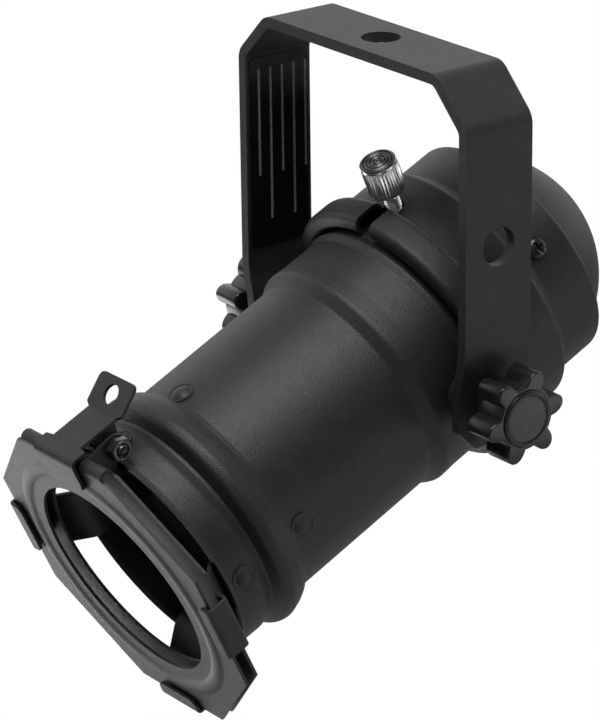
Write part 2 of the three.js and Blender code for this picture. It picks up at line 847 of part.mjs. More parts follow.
function pivotSide(side) {
  const turn = side === 'right' ? 0 : 180;
  const place = (made) => made.rotate([0, 0, turn]);
  return {
    onCan: [
      piece(`pivot_bolt_${side}`, place(pivotBolt()), STEEL),
      piece(`pivot_spacer_${side}`, place(onBolt(PIVOT.spacer)), BLACK_COAT),
      piece(`friction_washer_${side}`, place(onBolt(PIVOT.frictionWasher)), BLACK_PLASTIC),
      piece(`outer_washer_${side}`, place(onBolt(PIVOT.outerWasher)), BLACK_SCREW),
    ],
    knob: [
      piece(`knob_${side}`, place(knob().rotate([KNOB.turn, 0, 0])), BLACK_PLASTIC),
      piece(`knob_insert_${side}`, place(knobInsert()), BRASS),
      piece(`knob_cap_${side}`, place(knobCap()), BLACK_PLASTIC),
    ],
  };
}

function rivetPieces() {
  const sides = { top: 0, left: 90, bottom: 180, right: 270 };
  const ends = { rear: RIVET.rows[0], front: RIVET.rows[1] };
  const pieces = [];
  for (const [side, turn] of Object.entries(sides)) {
    for (const [end, row] of Object.entries(ends)) {
      pieces.push(piece(`rivet_${side}_${end}`, aboutAxis(rivet(row), turn), BLACK_COAT));
    }
  }
  return pieces;
}

const right = pivotSide('right');
const left = pivotSide('left');

const can = new THREE.Group();
can.position.z = -YOKE.height;
can.rotation.x = THREE.MathUtils.degToRad(90 + TILT_DOWN);
can.add(
  piece('front_barrel', frontBarrel(), BLACK_COAT),
  piece('clip_left', aboutAxis(clip(CLIP.reach), 90), BLACK_COAT),
  piece('clip_right', aboutAxis(clip(CLIP.reach), -90), BLACK_COAT),
  piece('clip_bottom', aboutAxis(clip(CLIP.reach - FRAME.centreY), 180), BLACK_COAT),
  piece('latch_bracket', latchBracket(), BLACK_COAT),
  piece('latch', latch(), BLACK_COAT),
  piece('latch_pin', latchPin(), BLACK_SCREW),
  piece('latch_nut', latchNut(), BLACK_SCREW),
  piece('latch_spring', latchSpring(), STEEL),
  piece('filter_frame', filterFrame(), BLACK_COAT),
  ...rivetPieces(),
  ...right.onCan,
  ...left.onCan,
  ...right.knob,
  ...left.knob,
  piece('thumbscrew_bush', thumbscrewBush(), STEEL),
  piece('thumbscrew', thumbscrew(), NICKEL),
  piece('rear_housing', rearHousing(), BLACK_COAT),
  ...atCoverScrews(housingScrew()).map((made, k) => piece(`housing_screw_${k + 1}`, made, BLACK_SCREW)),
  piece('lamp_carrier', lampCarrier(), STEEL),
  piece('lampholder', lampholder(), CERAMIC),
  piece('holder_screw_upper', holderScrew(1), STEEL),
  piece('holder_screw_lower', holderScrew(-1), STEEL),
  piece('lamp_body', lampBody(), MIRROR),
  piece('lamp_glass', lampGlass(), GLASS),
  piece('lamp_capsule', lampCapsule(), GLASS),
  piece('lamp_pin_left', lampPin(-1), BRASS),
  piece('lamp_pin_right', lampPin(1), BRASS),
  piece('terminal_block', terminalBlock(), BLACK_PLASTIC),
  piece('earth_screw', earthScrew(), STEEL),
  piece('cable_gland', cableGland(), BLACK_PLASTIC),
  piece('gland_nut', glandNut(), BLACK_PLASTIC),
);

const yokeGroup = new THREE.Group();
yokeGroup.position.z = -YOKE.height;
yokeGroup.add(piece('yoke', yoke(), BLACK_COAT), piece('rating_label', ratingLabel(), LABEL));

const light = new THREE.Group();
light.add(yokeGroup, can);

export default light;
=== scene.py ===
import json
import math

import bmesh
import bpy
from mathutils import Matrix, Vector

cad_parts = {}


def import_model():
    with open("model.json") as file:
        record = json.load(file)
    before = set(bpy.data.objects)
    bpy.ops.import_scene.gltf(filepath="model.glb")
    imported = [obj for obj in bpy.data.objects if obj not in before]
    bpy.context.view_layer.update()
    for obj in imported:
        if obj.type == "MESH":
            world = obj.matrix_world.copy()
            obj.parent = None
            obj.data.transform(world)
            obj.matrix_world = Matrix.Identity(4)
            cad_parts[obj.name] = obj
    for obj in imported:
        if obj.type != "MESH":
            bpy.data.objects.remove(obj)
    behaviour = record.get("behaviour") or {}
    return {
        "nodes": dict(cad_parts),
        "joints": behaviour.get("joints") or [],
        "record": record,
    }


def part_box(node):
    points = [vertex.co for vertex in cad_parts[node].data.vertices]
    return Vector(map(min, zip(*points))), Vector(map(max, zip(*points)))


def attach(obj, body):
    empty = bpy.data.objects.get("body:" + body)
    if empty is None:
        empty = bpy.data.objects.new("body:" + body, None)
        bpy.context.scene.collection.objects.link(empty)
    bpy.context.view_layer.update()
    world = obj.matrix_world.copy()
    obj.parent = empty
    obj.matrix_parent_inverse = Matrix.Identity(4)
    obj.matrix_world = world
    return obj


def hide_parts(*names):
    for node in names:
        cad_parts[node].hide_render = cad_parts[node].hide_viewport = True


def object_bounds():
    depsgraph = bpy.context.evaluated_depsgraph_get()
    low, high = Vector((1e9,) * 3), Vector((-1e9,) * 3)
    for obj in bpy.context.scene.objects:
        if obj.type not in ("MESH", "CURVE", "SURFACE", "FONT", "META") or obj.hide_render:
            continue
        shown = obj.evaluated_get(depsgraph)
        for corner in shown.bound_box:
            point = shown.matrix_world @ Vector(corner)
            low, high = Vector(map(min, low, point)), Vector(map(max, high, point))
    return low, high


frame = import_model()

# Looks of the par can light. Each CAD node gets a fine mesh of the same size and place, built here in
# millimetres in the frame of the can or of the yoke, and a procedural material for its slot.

cad_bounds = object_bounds()
record = frame["record"]
joints = {joint["name"]: joint for joint in frame["joints"]}
BODY_OF = {node: body for body, nodes in record["behaviour"]["bodies"].items() for node in nodes}
SLOT_OF = {part["node"]: part["material_slot"] for part in record["subparts"]}

MM = 0.001
QUARTER = math.radians(90)
Z_TO_X = Matrix.Rotation(QUARTER, 4, "Y")

# ---------------- frames, in millimetres


def can_frame():
    """x across, y up and z forwards along the can, from the tilt axis."""
    forwards = -Vector(joints["rear_slide"]["axis"])
    across = Vector(joints["tilt"]["axis"])
    turn = Matrix((across, forwards.cross(across), forwards)).transposed().to_4x4()
    return Matrix.Translation(joints["tilt"]["pos_m"]) @ turn @ Matrix.Scale(MM, 4)


CAN = can_frame()
YOKE = Matrix.Translation(joints["tilt"]["pos_m"]) @ Matrix.Scale(MM, 4)


def about_can(turn):
    """The can's frame turned about its own axis, in degrees."""
    return CAN @ Matrix.Rotation(math.radians(turn), 4, "Z")


def on_can(z, turn):
    """A frame whose z points out of the can's side at a place along it."""
    return about_can(turn) @ Matrix.Translation((0, 0, z)) @ Matrix.Rotation(-QUARTER, 4, "X")


def on_pivot(side, turn=0):
    """A frame whose z points outwards along the tilt axis."""
    facing = CAN if side == "right" else about_can(180)
    return facing @ Matrix.Rotation(math.radians(turn), 4, "X") @ Z_TO_X


def span(node, where=CAN):
    """A CAD node's lowest and highest corner in one of these frames."""
    inwards = where.inverted()
    points = [inwards @ vertex.co for vertex in frame["nodes"][node].data.vertices]
    return Vector(map(min, zip(*points))), Vector(map(max, zip(*points)))


# ---------------- outlines


def fillet(path, radius=1.0, steps=5):
    """An open path with its inner corners rounded. A point's third number is its own radius."""
    out = [Vector(path[0][:2])]
    for before, corner, after in zip(path, path[1:], path[2:]):
        here = Vector(corner[:2])
        reach = corner[2] if len(corner) > 2 else radius
        to_last = Vector(before[:2]) - here
        to_next = Vector(after[:2]) - here
        half = to_last.angle(to_next) / 2
        cut = min(reach / math.tan(half), to_last.length * 0.49, to_next.length * 0.49)
        if cut < 0.02:
            out.append(here)
            continue
        start = here + to_last.normalized() * cut
        end = here + to_next.normalized() * cut
        for k in range(steps + 1):
            t = k / steps
            out.append(start.lerp(here, t).lerp(here.lerp(end, t), t))
    out.append(Vector(path[-1][:2]))
    return out


def both_sides(path, thickness):
    """The two sides of a sheet of one thickness whose middle follows an open path."""
    left = []
    right = []
    for i, here in enumerate(path):
        before = here - path[max(i - 1, 0)]
        after = path[min(i + 1, len(path) - 1)] - here
        a = (before if before.length else after).normalized()
        b = (after if after.length else before).normalized()
        along = (a + b).normalized()
        normal = Vector((-along.y, along.x)) * (thickness / 2 / along.dot(a))
        left.append(here + normal)
        right.append(here - normal)
    return left, right


def sheet(path, thickness):
    """The closed outline of such a sheet."""
    left, right = both_sides(path, thickness)
    return left + right[::-1]


def arc(centre, radius, start, end, steps):
    """Points round a centre, from one angle to another in degrees."""
    angles = [math.radians(start + (end - start) * k / steps) for k in range(steps + 1)]
    return [Vector((centre[0] + radius * math.cos(a), centre[1] + radius * math.sin(a))) for a in angles]


def hexagon(radius):
    """Six corners at a radius, with one at the positive end of the second axis."""
    angles = [math.radians(30 + 60 * k) for k in range(6)]
    return [(radius * math.cos(a), radius * math.sin(a)) for a in angles]


def dense(path, step=0.5):
    """The same path with no stretch longer than a step."""
    out = [path[0]]
    for here, following in zip(path, path[1:]):
        count = max(1, math.ceil((following - here).length / step))
        out += [here.lerp(following, k / count) for k in range(1, count + 1)]
    return out


# ---------------- solids


def grid(rows, closed_rows=True):
    """A closed skin through rows of points: each row is a loop, and the rows follow one another."""
    bm = bmesh.new()
    loops = [[bm.verts.new(p) for p in row] for row in rows]
    pairs = list(zip(loops, loops[1:]))
    if closed_rows:
        pairs.append((loops[-1], loops[0]))
    for row, following in pairs:
        for i in range(len(row)):
            j = (i + 1) % len(row)
            bm.faces.new((row[i], row[j], following[j], following[i]))
    if not closed_rows:
        bm.faces.new(loops[0])
        bm.faces.new(loops[-1][::-1])
    bmesh.ops.remove_doubles(bm, verts=bm.verts, dist=1e-4)
    bare_edges = [edge for edge in bm.edges if not edge.link_faces]
    bmesh.ops.delete(bm, geom=bare_edges, context="EDGES")
    bmesh.ops.recalc_face_normals(bm, faces=bm.faces)
    return bm


def around(section, facets):
    """A skin round z through one section of (radius, z) at each angle."""
    rows = []
    for k in range(facets):
        angle = 2 * math.pi * k / facets
        c, s = math.cos(angle), math.sin(angle)
        rows.append([(r * c, r * s, z) for r, z, *_ in section(angle)])
    return grid(rows)


def lathe(outline, facets=144):
    """The solid got by turning a closed outline of (radius, z) about z."""
    return around(lambda angle: outline, facets)


def rod(radius, low, high, facets=64):
    return lathe([(0, low), (radius, low), (radius, high), (0, high)], facets)


def ring(inner, outer, low, high, facets=96):
    return lathe([(inner, low), (outer, low), (outer, high), (inner, high)], facets)


def prism(outline, low, high, put):
    """A closed outline pulled straight; put(u, v, w) says where its points go."""
    return grid([[put(p[0], p[1], w) for p in outline] for w in (low, high)], closed_rows=False)


def across(u, v, w):
    """An outline in (z, y), pulled along x."""
    return (w, v, u)


def along(u, v, w):
    """An outline in (x, y), pulled along z."""
    return (u, v, w)


def upright(u, v, w):
    """An outline in (x, z), pulled along y."""
    return (u, w, v)


def sidelong(u, v, w):
    """An outline in (y, z), pulled along x."""
    return (w, u, v)


def block(low, high):
    """A box between two opposite corners."""
    corners = [(low[0], low[1]), (high[0], low[1]), (high[0], high[1]), (low[0], high[1])]
    return prism(corners, low[2], high[2], along)


def strap(path, half_width, thickness):
    """A bent strip: its middle follows path in (z, y), and half_width(z, y) is its reach along x."""
    left, right = both_sides(path, thickness)
    rows = []
    for middle, a, b in zip(path, left, right):
        half = half_width(middle.x, middle.y)
        rows.append([(-half, a.y, a.x), (half, a.y, a.x), (half, b.y, b.x), (-half, b.y, b.x)])
    return grid(rows, closed_rows=False)


def rounded_end(half, radius, from_end):
    """Half the width of a strip, at a distance from its end, where the end has rounded corners."""
    inset = max(radius - from_end, 0)
    return half - radius + math.sqrt(max(radius ** 2 - inset ** 2, 0))


def thread(first, second, low, pitch, turns):
    """The zigzag side of a screw thread, upwards from low, between two radii."""
    side = []
    for k in range(turns):
        z = low + pitch * k
        side += [(first, z), (second, z + pitch / 2)]
    return side


def moved(bm, matrix):
    bm.transform(matrix)
    return bm


def shifted(bm, x=0, y=0, z=0):
    return moved(bm, Matrix.Translation((x, y, z)))


FLAT_ENOUGH = math.radians(0.3)


def work_object(bm):
    mesh = bpy.data.meshes.new("work")
    bm.to_mesh(mesh)
    made = bpy.data.objects.new("work", mesh)
    bpy.context.scene.collection.objects.link(made)
    return made


def combined(solid, tools, operation="DIFFERENCE"):
    """A solid with the tools cut from it, joined to it, or what it has in common with them."""
    made = work_object(solid)
    cutters = [work_object(tool) for tool in tools]
    for cutter in cutters:
        modifier = made.modifiers.new("boolean", "BOOLEAN")
        modifier.operation = operation
        modifier.solver = "MANIFOLD"
        modifier.object = cutter
    evaluated = made.evaluated_get(bpy.context.evaluated_depsgraph_get())
    result = bmesh.new()
    result.from_mesh(evaluated.to_mesh())
    for used in [made, *cutters]:
        bpy.data.objects.remove(used)
    bmesh.ops.remove_doubles(result, verts=result.verts, dist=1e-4)
    bmesh.ops.dissolve_limit(result, angle_limit=FLAT_ENOUGH, verts=result.verts, edges=result.edges)
    return result


def cut(solid, *tools):
    return combined(solid, tools, "DIFFERENCE")


def join(solid, *tools):
    return combined(solid, tools, "UNION")


def common(solid, *tools):
    return combined(solid, tools, "INTERSECT")


# ---------------- materials


class Finish:
    """One procedural material, on a Principled shader. Textures follow the piece, in metres."""

    def __init__(self, name, color, roughness, metallic=0.0, **sockets):
        self.material = bpy.data.materials.new(name)
        self.material.use_nodes = True
        self.nodes = self.material.node_tree.nodes
        self.links = self.material.node_tree.links
        self.shader = self.nodes["Principled BSDF"]
        self.shader.inputs["Base Color"].default_value = (*color, 1)
        self.shader.inputs["Roughness"].default_value = roughness
        self.shader.inputs["Metallic"].default_value = metallic
        for socket, value in sockets.items():
            self.shader.inputs[socket.replace("_", " ")].default_value = value
        self.place = self.nodes.new("ShaderNodeTexCoord").outputs["Object"]

    def noise(self, size_mm, detail=2.0, stretch=None):
        """Noise whose features are about size_mm across."""
        texture = self.nodes.new("ShaderNodeTexNoise")
        texture.inputs["Scale"].default_value = 1 / (size_mm * MM)
        texture.inputs["Detail"].default_value = detail
        place = self.place
        if stretch:
            mapping = self.nodes.new("ShaderNodeMapping")
            mapping.inputs["Scale"].default_value = stretch
            self.links.new(place, mapping.inputs["Vector"])
            place = mapping.outputs["Vector"]
        self.links.new(place, texture.inputs["Vector"])
        return texture.outputs["Fac"]

    def spread(self, value, low, high, start=0.3, end=0.7):
        """A noise mapped to run from low to high."""
        node = self.nodes.new("ShaderNodeMapRange")
        node.inputs["From Min"].default_value = start
        node.inputs["From Max"].default_value = end
        node.inputs["To Min"].default_value = low
        node.inputs["To Max"].default_value = high
        self.links.new(value, node.inputs["Value"])
        return node.outputs["Result"]

    def colour_between(self, value, first, second):
        """A mix of two colours, each a triple or another mix."""
        node = self.nodes.new("ShaderNodeMix")
        node.data_type = "RGBA"
        for socket, colour in (("A", first), ("B", second)):
            if isinstance(colour, tuple):
                node.inputs[socket].default_value = (*colour, 1)
            else:
                self.links.new(colour, node.inputs[socket])
        self.links.new(value, node.inputs["Factor"])
        return node.outputs["Result"]

    def combine(self, operation, a, b):
        """A calculation on two sockets or numbers."""
        node = self.nodes.new("ShaderNodeMath")
        node.operation = operation
        for socket, value in zip(node.inputs, (a, b)):
            if isinstance(value, (int, float)):
                socket.default_value = value
            else:
                self.links.new(value, socket)
        return node.outputs["Value"]

    def vector(self, operation, *inputs):
        """A vector calculation on sockets or fixed vectors."""
        node = self.nodes.new("ShaderNodeVectorMath")
        node.operation = operation
        for socket, value in zip(node.inputs, inputs):
            if isinstance(value, Vector):
                socket.default_value = value
            else:
                self.links.new(value, socket)
        return node

    def bump(self, *heights):
        """Stacked bumps, each a (height, depth in millimetres)."""
        normal = None
        for height, depth_mm in heights:
            node = self.nodes.new("ShaderNodeBump")
            node.inputs["Distance"].default_value = depth_mm * MM
            self.links.new(height, node.inputs["Height"])
            if normal:
                self.links.new(normal, node.inputs["Normal"])
            normal = node.outputs["Normal"]
        self.links.new(normal, self.shader.inputs["Normal"])

    def use(self, socket, value):
        """Feeds one of the shader's sockets."""
        self.links.new(value, self.shader.inputs[socket])

    def edges(self, low=0.52, high=0.6):
        """1 on convex edges, 0 elsewhere: a mask for rubbed wear there, and for painted edge highlight."""
        pointiness = self.nodes.new("ShaderNodeNewGeometry").outputs["Pointiness"]
        return self.spread(pointiness, 0, 1, low, high)


def black_coat():
    """Fine-grained matt powder coat, a little greyer where it has been handled."""
    finish = Finish("black_coat", (0.012, 0.012, 0.0125), 0.48)
    grain = finish.noise(0.42, 3)
    patches = finish.noise(14, 3)
    handled = finish.spread(finish.noise(3.5, 4), 0, 1, 0.55, 0.75)
    patchy = finish.spread(patches, 0, 1)
    coat = finish.colour_between(patchy, (0.011, 0.0112, 0.0112), (0.017, 0.0173, 0.0173))
    finish.use("Base Color", finish.colour_between(handled, coat, (0.02, 0.02, 0.02)))
    finish.use("Roughness", finish.spread(finish.noise(1.1, 3), 0.45, 0.52))
    finish.bump((grain, 0.1), (finish.noise(0.2, 2), 0.035))
    return finish.material


def black_plastic():
    """Moulded plastic with a slight sheen and a faint orange peel."""
    finish = Finish("black_plastic", (0.01, 0.01, 0.0105), 0.34)
    mottle = finish.spread(finish.noise(6, 3), 0, 1)
    finish.use("Base Color", finish.colour_between(mottle, (0.008, 0.008, 0.0085), (0.014, 0.014, 0.0145)))
    finish.use("Roughness", finish.spread(finish.noise(1.2, 4), 0.22, 0.32))
    finish.bump((finish.noise(0.8, 2), 0.009), (finish.noise(0.15, 2), 0.004))
    return finish.material


def black_screw():
    """Blackened steel with an oily gloss."""
    finish = Finish("black_screw", (0.05, 0.05, 0.052), 0.26, 0.8)
    # convex edges painted light grey: rubbed bare steel, and also a painted highlight along the rim and the
    # cross recess
    worn = finish.combine("MULTIPLY", finish.edges(0.53, 0.62), 0.5)
    finish.use("Base Color", finish.colour_between(worn, (0.045, 0.045, 0.047), (0.3, 0.29, 0.28)))
    finish.use("Roughness", finish.spread(finish.noise(0.7, 4), 0.18, 0.36))
    finish.bump((finish.noise(0.3, 2), 0.008))
    return finish.material


def bare_metal(name, bright, dull, roughness):
    """Machined or plated metal: fine scratches, and dull patches in the plating."""
    finish = Finish(name, bright, roughness, 1.0)
    dulled = finish.spread(finish.noise(2.5, 5), 0, 1, 0.4, 0.75)
    finish.use("Base Color", finish.colour_between(dulled, bright, dull))
    finish.use("Roughness", finish.spread(finish.noise(0.5, 4), roughness * 0.7, roughness * 1.5))
    scratches = finish.noise(0.35, 3, stretch=(1, 1, 0.08))
    finish.bump((scratches, 0.006), (finish.noise(0.12, 2), 0.003))
    return finish.material


RING_PITCH = 0.85 * MM
RING_DEPTH = 0.4 * MM               # how far down from the head's end the painted dark reflection shows


def nickel():
    """Nickel plate on the thumbscrew. The end of its head is painted near black in rings that follow the
    tool's rings: a painted dark reflection.
    """
    finish = Finish("nickel", (0.9, 0.89, 0.87), 0.22, 1.0)
    joint = joints["thumbscrew_turn"]
    start, axis = Vector(joint["pos_m"]), Vector(joint["axis"])
    head_end = max((v.co - start).dot(axis) for v in frame["nodes"]["thumbscrew"].data.vertices)
    from_start = finish.vector("SUBTRACT", finish.place, start).outputs["Vector"]
    height = finish.vector("DOT_PRODUCT", from_start, axis).outputs["Value"]
    aside = finish.vector("CROSS_PRODUCT", from_start, axis).outputs["Vector"]
    radius = finish.vector("LENGTH", aside).outputs["Value"]
    on_end = finish.combine("GREATER_THAN", height, head_end - RING_DEPTH)
    wave = finish.combine("SINE", finish.combine("MULTIPLY", radius, 2 * math.pi / RING_PITCH), 0)
    # painted dark reflection: the head's end goes near black in rings
    rings = finish.combine("MULTIPLY", finish.spread(wave, 0.75, 1, -0.6, 0.8), on_end)
    dull = finish.spread(finish.noise(2.5, 5), 0, 1, 0.4, 0.75)
    plated = finish.colour_between(dull, (0.92, 0.915, 0.9), (0.75, 0.745, 0.73))
    finish.use("Base Color", finish.colour_between(rings, plated, (0.03, 0.03, 0.03)))
    worn = finish.spread(finish.noise(0.5, 4), 0.12, 0.28)
    finish.use("Roughness", finish.combine("MAXIMUM", worn, finish.combine("MULTIPLY", on_end, 0.4)))
    finish.bump((finish.noise(0.12, 2), 0.003))
    return finish.material


def ceramic():
    """Fired steatite: off-white, slightly porous."""
    finish = Finish("ceramic", (0.72, 0.68, 0.58), 0.5)
    specks = finish.spread(finish.noise(0.7, 5), 0, 1, 0.35, 0.6)
    finish.use("Base Color", finish.colour_between(specks, (0.6, 0.55, 0.45), (0.78, 0.75, 0.66)))
    finish.use("Roughness", finish.spread(finish.noise(1.5, 3), 0.4, 0.65))
    finish.bump((finish.noise(0.5, 4), 0.03))
    return finish.material


def lamp_glass():
    """Pressed glass with a faint ripple."""
    finish = Finish("lamp_glass", (0.93, 0.96, 0.97), 0.06, IOR=1.5, Transmission_Weight=1.0)
    finish.use("Roughness", finish.spread(finish.noise(5, 3), 0.03, 0.12))
    finish.bump((finish.noise(3, 2), 0.03), (finish.noise(0.4, 2), 0.004))
    return finish.material


def lamp_mirror():
    """Evaporated aluminium on the reflector."""
    finish = Finish("lamp_mirror", (0.84, 0.84, 0.86), 0.16, 1.0)
    tint = finish.spread(finish.noise(8, 3), 0, 1)
    finish.use("Base Color", finish.colour_between(tint, (0.8, 0.8, 0.83), (0.9, 0.89, 0.9)))
    finish.use("Roughness", finish.spread(finish.noise(2, 3), 0.1, 0.22))
    finish.bump((finish.noise(1.2, 2), 0.01))
    return finish.material


RULES = 5
RULE_WIDTH = 0.7 * MM


def label():
    """Black film with printed grey rules in place of any wording."""
    finish = Finish("label", (0.003, 0.003, 0.004), 0.22, Specular_IOR_Level=0.08)
    low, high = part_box("rating_label")
    parts = finish.nodes.new("ShaderNodeSeparateXYZ")
    finish.links.new(finish.place, parts.inputs["Vector"])
    from_side = finish.combine("SUBTRACT", parts.outputs["Y"], low.y)
    from_foot = finish.combine("SUBTRACT", parts.outputs["Z"], low.z)
    width, height = high.y - low.y, high.z - low.z

    def inside(value, start, end):
        """1 where a value is between two others."""
        after = finish.combine("GREATER_THAN", value, start)
        before = finish.combine("LESS_THAN", value, end)
        return finish.combine("MULTIPLY", after, before)

    rules = None
    for k in range(RULES):
        across_label = width * (k + 0.7) / RULES
        reach = height * (0.86 if k % 2 else 0.62)
        line = finish.combine(
            "MULTIPLY",
            inside(from_side, across_label, across_label + RULE_WIDTH),
            inside(from_foot, height - reach, height * 0.94),
        )
        rules = line if rules is None else finish.combine("MAXIMUM", rules, line)
    faded = finish.combine("MULTIPLY", rules, finish.spread(finish.noise(0.3, 3), 0.25, 0.9))
    finish.use("Base Color", finish.colour_between(faded, (0.006, 0.006, 0.007), (0.3, 0.3, 0.3)))
    finish.use("Roughness", finish.spread(finish.noise(4, 3), 0.16, 0.3))
    finish.bump((finish.noise(2.5, 3), 0.02))
    return finish.material


MATERIALS = {
    "black_coat": black_coat(),
    "black_plastic": black_plastic(),
    "black_screw": black_screw(),
    "nickel": nickel(),
    "steel": bare_metal("steel", (0.5, 0.5, 0.49), (0.33, 0.33, 0.33), 0.32),
    "brass": bare_metal("brass", (0.7, 0.5, 0.22), (0.45, 0.31, 0.14), 0.3),
    "ceramic": ceramic(),
    "lamp_glass": lamp_glass(),
    "lamp_mirror": lamp_mirror(),
    "label": label(),
}

# ---------------- pieces


def look(node, bm, where=CAN, bevel=0.0, sharp=38, flat_faces=False):
    """The fine mesh that stands for a CAD node: bevel in millimetres, sharp in degrees."""
    bmesh.ops.recalc_face_normals(bm, faces=bm.faces)
    bm.transform(where)
    mesh = bpy.data.meshes.new(node + "_look")
    bm.to_mesh(mesh)
    mesh.shade_smooth()
    mesh.set_sharp_from_angle(angle=math.radians(sharp))
    mesh.materials.append(MATERIALS[SLOT_OF[node]])
    made = bpy.data.objects.new(node + "_look", mesh)
    bpy.context.scene.collection.objects.link(made)
    if bevel:
        modifier = made.modifiers.new("edges", "BEVEL")
        modifier.width = bevel * MM
        modifier.segments = 3
        modifier.limit_method = "ANGLE"
        modifier.angle_limit = math.radians(sharp)
    if bevel or flat_faces:
        flatten = made.modifiers.new("flat faces", "WEIGHTED_NORMAL")
        flatten.keep_sharp = True
        flatten.weight = 90
    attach(made, BODY_OF[node])
    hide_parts(node)
    return made


# ---------------- yoke

BAR = 2.7
BAR_WIDTH = 20
FOOT_JOGGLE = (5.6, 12.6)           # heights above the tilt axis
FOOT_STEP = 2.1                     # how far the joggle brings a leg inwards
FOOT_CUT = 4.8
CORNER_CUT = 10.8
HOLE_RADIUS = 4.8
SIDE_HOLE_HEIGHT = 40
LEG_HOLE = 3.2
LABEL_CORNER = 1.5
PAST = 5                            # how far a cutting tool runs past what it cuts


def yoke():
    """Bent flat bar with joggled legs, the corners cut from their feet, and its holes."""
    low, high = span("yoke", YOKE)
    leg = high.x - BAR / 2
    foot = leg - FOOT_STEP
    top = high.z - BAR / 2
    corner = CORNER_CUT - BAR / 2 * math.tan(math.pi / 8)
    side = [
        (foot, low.z),
        (foot, FOOT_JOGGLE[0], 25),
        (leg, FOOT_JOGGLE[1], 25),
        (leg, top - corner),
        (leg - corner, top),
    ]
    path = fillet(side + [(-x, *rest) for x, *rest in side[::-1]], radius=4, steps=8)
    bar = prism(sheet(path, BAR), -BAR_WIDTH / 2, BAR_WIDTH / 2, upright)
    far = high.x + PAST
    corner_tools = []
    for y in (-BAR_WIDTH / 2, BAR_WIDTH / 2):
        diamond = [(y - FOOT_CUT, low.z), (y, low.z - FOOT_CUT), (y + FOOT_CUT, low.z), (y, low.z + FOOT_CUT)]
        corner_tools.append(prism(diamond, -far, far, sidelong))
    side_hole = shifted(moved(rod(HOLE_RADIUS, foot - PAST, far), Z_TO_X), z=SIDE_HOLE_HEIGHT)
    top_hole = rod(HOLE_RADIUS, top - PAST, top + PAST)
    leg_holes = moved(rod(LEG_HOLE, -far, far), Z_TO_X)
    look("yoke", cut(bar, *corner_tools, side_hole, top_hole, leg_holes), YOKE, bevel=0.45, sharp=30)


def rating_label():
    """A thin sticker with rounded corners."""
    low, high = span("rating_label", YOKE)
    corners = [(low.y, low.z), (high.y, low.z), (high.y, high.z), (low.y, high.z)]
    middle = ((low.y + high.y) / 2, low.z)
    rounded = [(y, z, LABEL_CORNER) for y, z in corners[1:] + corners[:1]]
    path = fillet([middle, *rounded, middle])
    face = prism(path[:-1], low.x, high.x, sidelong)
    look("rating_label", face, YOKE, bevel=0.05)


yoke()
rating_label()

# ---------------- barrel

SHEET = 1.0
PIVOT_HOLE = 2.8
THUMB_HOLE = 2.3
IN_THE_CAN, OUT_OF_THE_CAN = 20, 40     # radii between which a tool cuts through the can's side


def front_barrel():
    """Spun tube: a mouth, a groove and a bead, the long tube, and a shoulder that leads to the neck."""
    low, high = span("front_barrel")
    path = fillet([
        (30.5, high.z - 0.1),
        (30.2, high.z - 1.2, 1.6),
        (30.3, 69.8, 3),
        (29.4, 67.1, 1.8),
        (29.6, 66, 0.8),
        (32.5, 64.3, 1.8),
        (33, 62.4, 2.5),
        (32.2, 59.6, 4),
        (31.2, 57.6, 0.5),
        (29.9, 57.1, 0.4),
        (29.5, 55.4, 1.5),
        (29.5, 12.9, 2.6),
        (31.55, 9.6, 2.4),
        (31.3, 5, 4),
        (31.3, -4, 1.5),
        (32, -6, 0.8),
        (31.3, -7.6, 0.8),
        (31.3, low.z),
    ], steps=6)
    tube = lathe(sheet(path, SHEET), 192)
    pivot_holes = moved(rod(PIVOT_HOLE, -OUT_OF_THE_CAN, OUT_OF_THE_CAN), Z_TO_X)
    thumb_hole = into_can(rod(THUMB_HOLE, IN_THE_CAN, OUT_OF_THE_CAN), ON_THUMB)
    look("front_barrel", cut(tube, pivot_holes, thumb_hole), bevel=0.2)


def thumb_place():
    """Where along the can the thumbscrew stands, and its turn about the can's axis."""
    joint = joints["thumbscrew_turn"]
    start = CAN.inverted() @ Vector(joint["pos_m"])
    axis = CAN.inverted().to_3x3() @ Vector(joint["axis"])
    return start.z, math.degrees(math.atan2(-axis.x, axis.y))


THUMB_Z, THUMB_TURN = thumb_place()
ON_THUMB = on_can(THUMB_Z, THUMB_TURN)


def into_can(bm, frame_there):
    """A solid made in a frame on the can, brought into the can's own."""
    return moved(bm, CAN.inverted() @ frame_there)


SLOT_HALF = 2.5
SCREW_TURNS = [-60 - 120 * k for k in range(3)]
SCREW_Z = -35.8
SCREW_HOLE = 1.8
GLAND_HOLE = 4.6
GLAND_TURN = 130
DOME_RADIUS = 29.9
DOME_START = -23.2                  # degrees
DOME_CENTRE = span("rear_housing")[0].z + SHEET / 2 + DOME_RADIUS
ON_GLAND = CAN @ Matrix.Translation((0, 0, DOME_CENTRE)) @ Matrix.Rotation(math.radians(GLAND_TURN), 4, "X")


def side_holes(radius):
    """Tools for the three screws through the cover's side."""
    drill = rod(radius, IN_THE_CAN, OUT_OF_THE_CAN)
    return [into_can(drill.copy(), on_can(SCREW_Z, turn)) for turn in SCREW_TURNS]


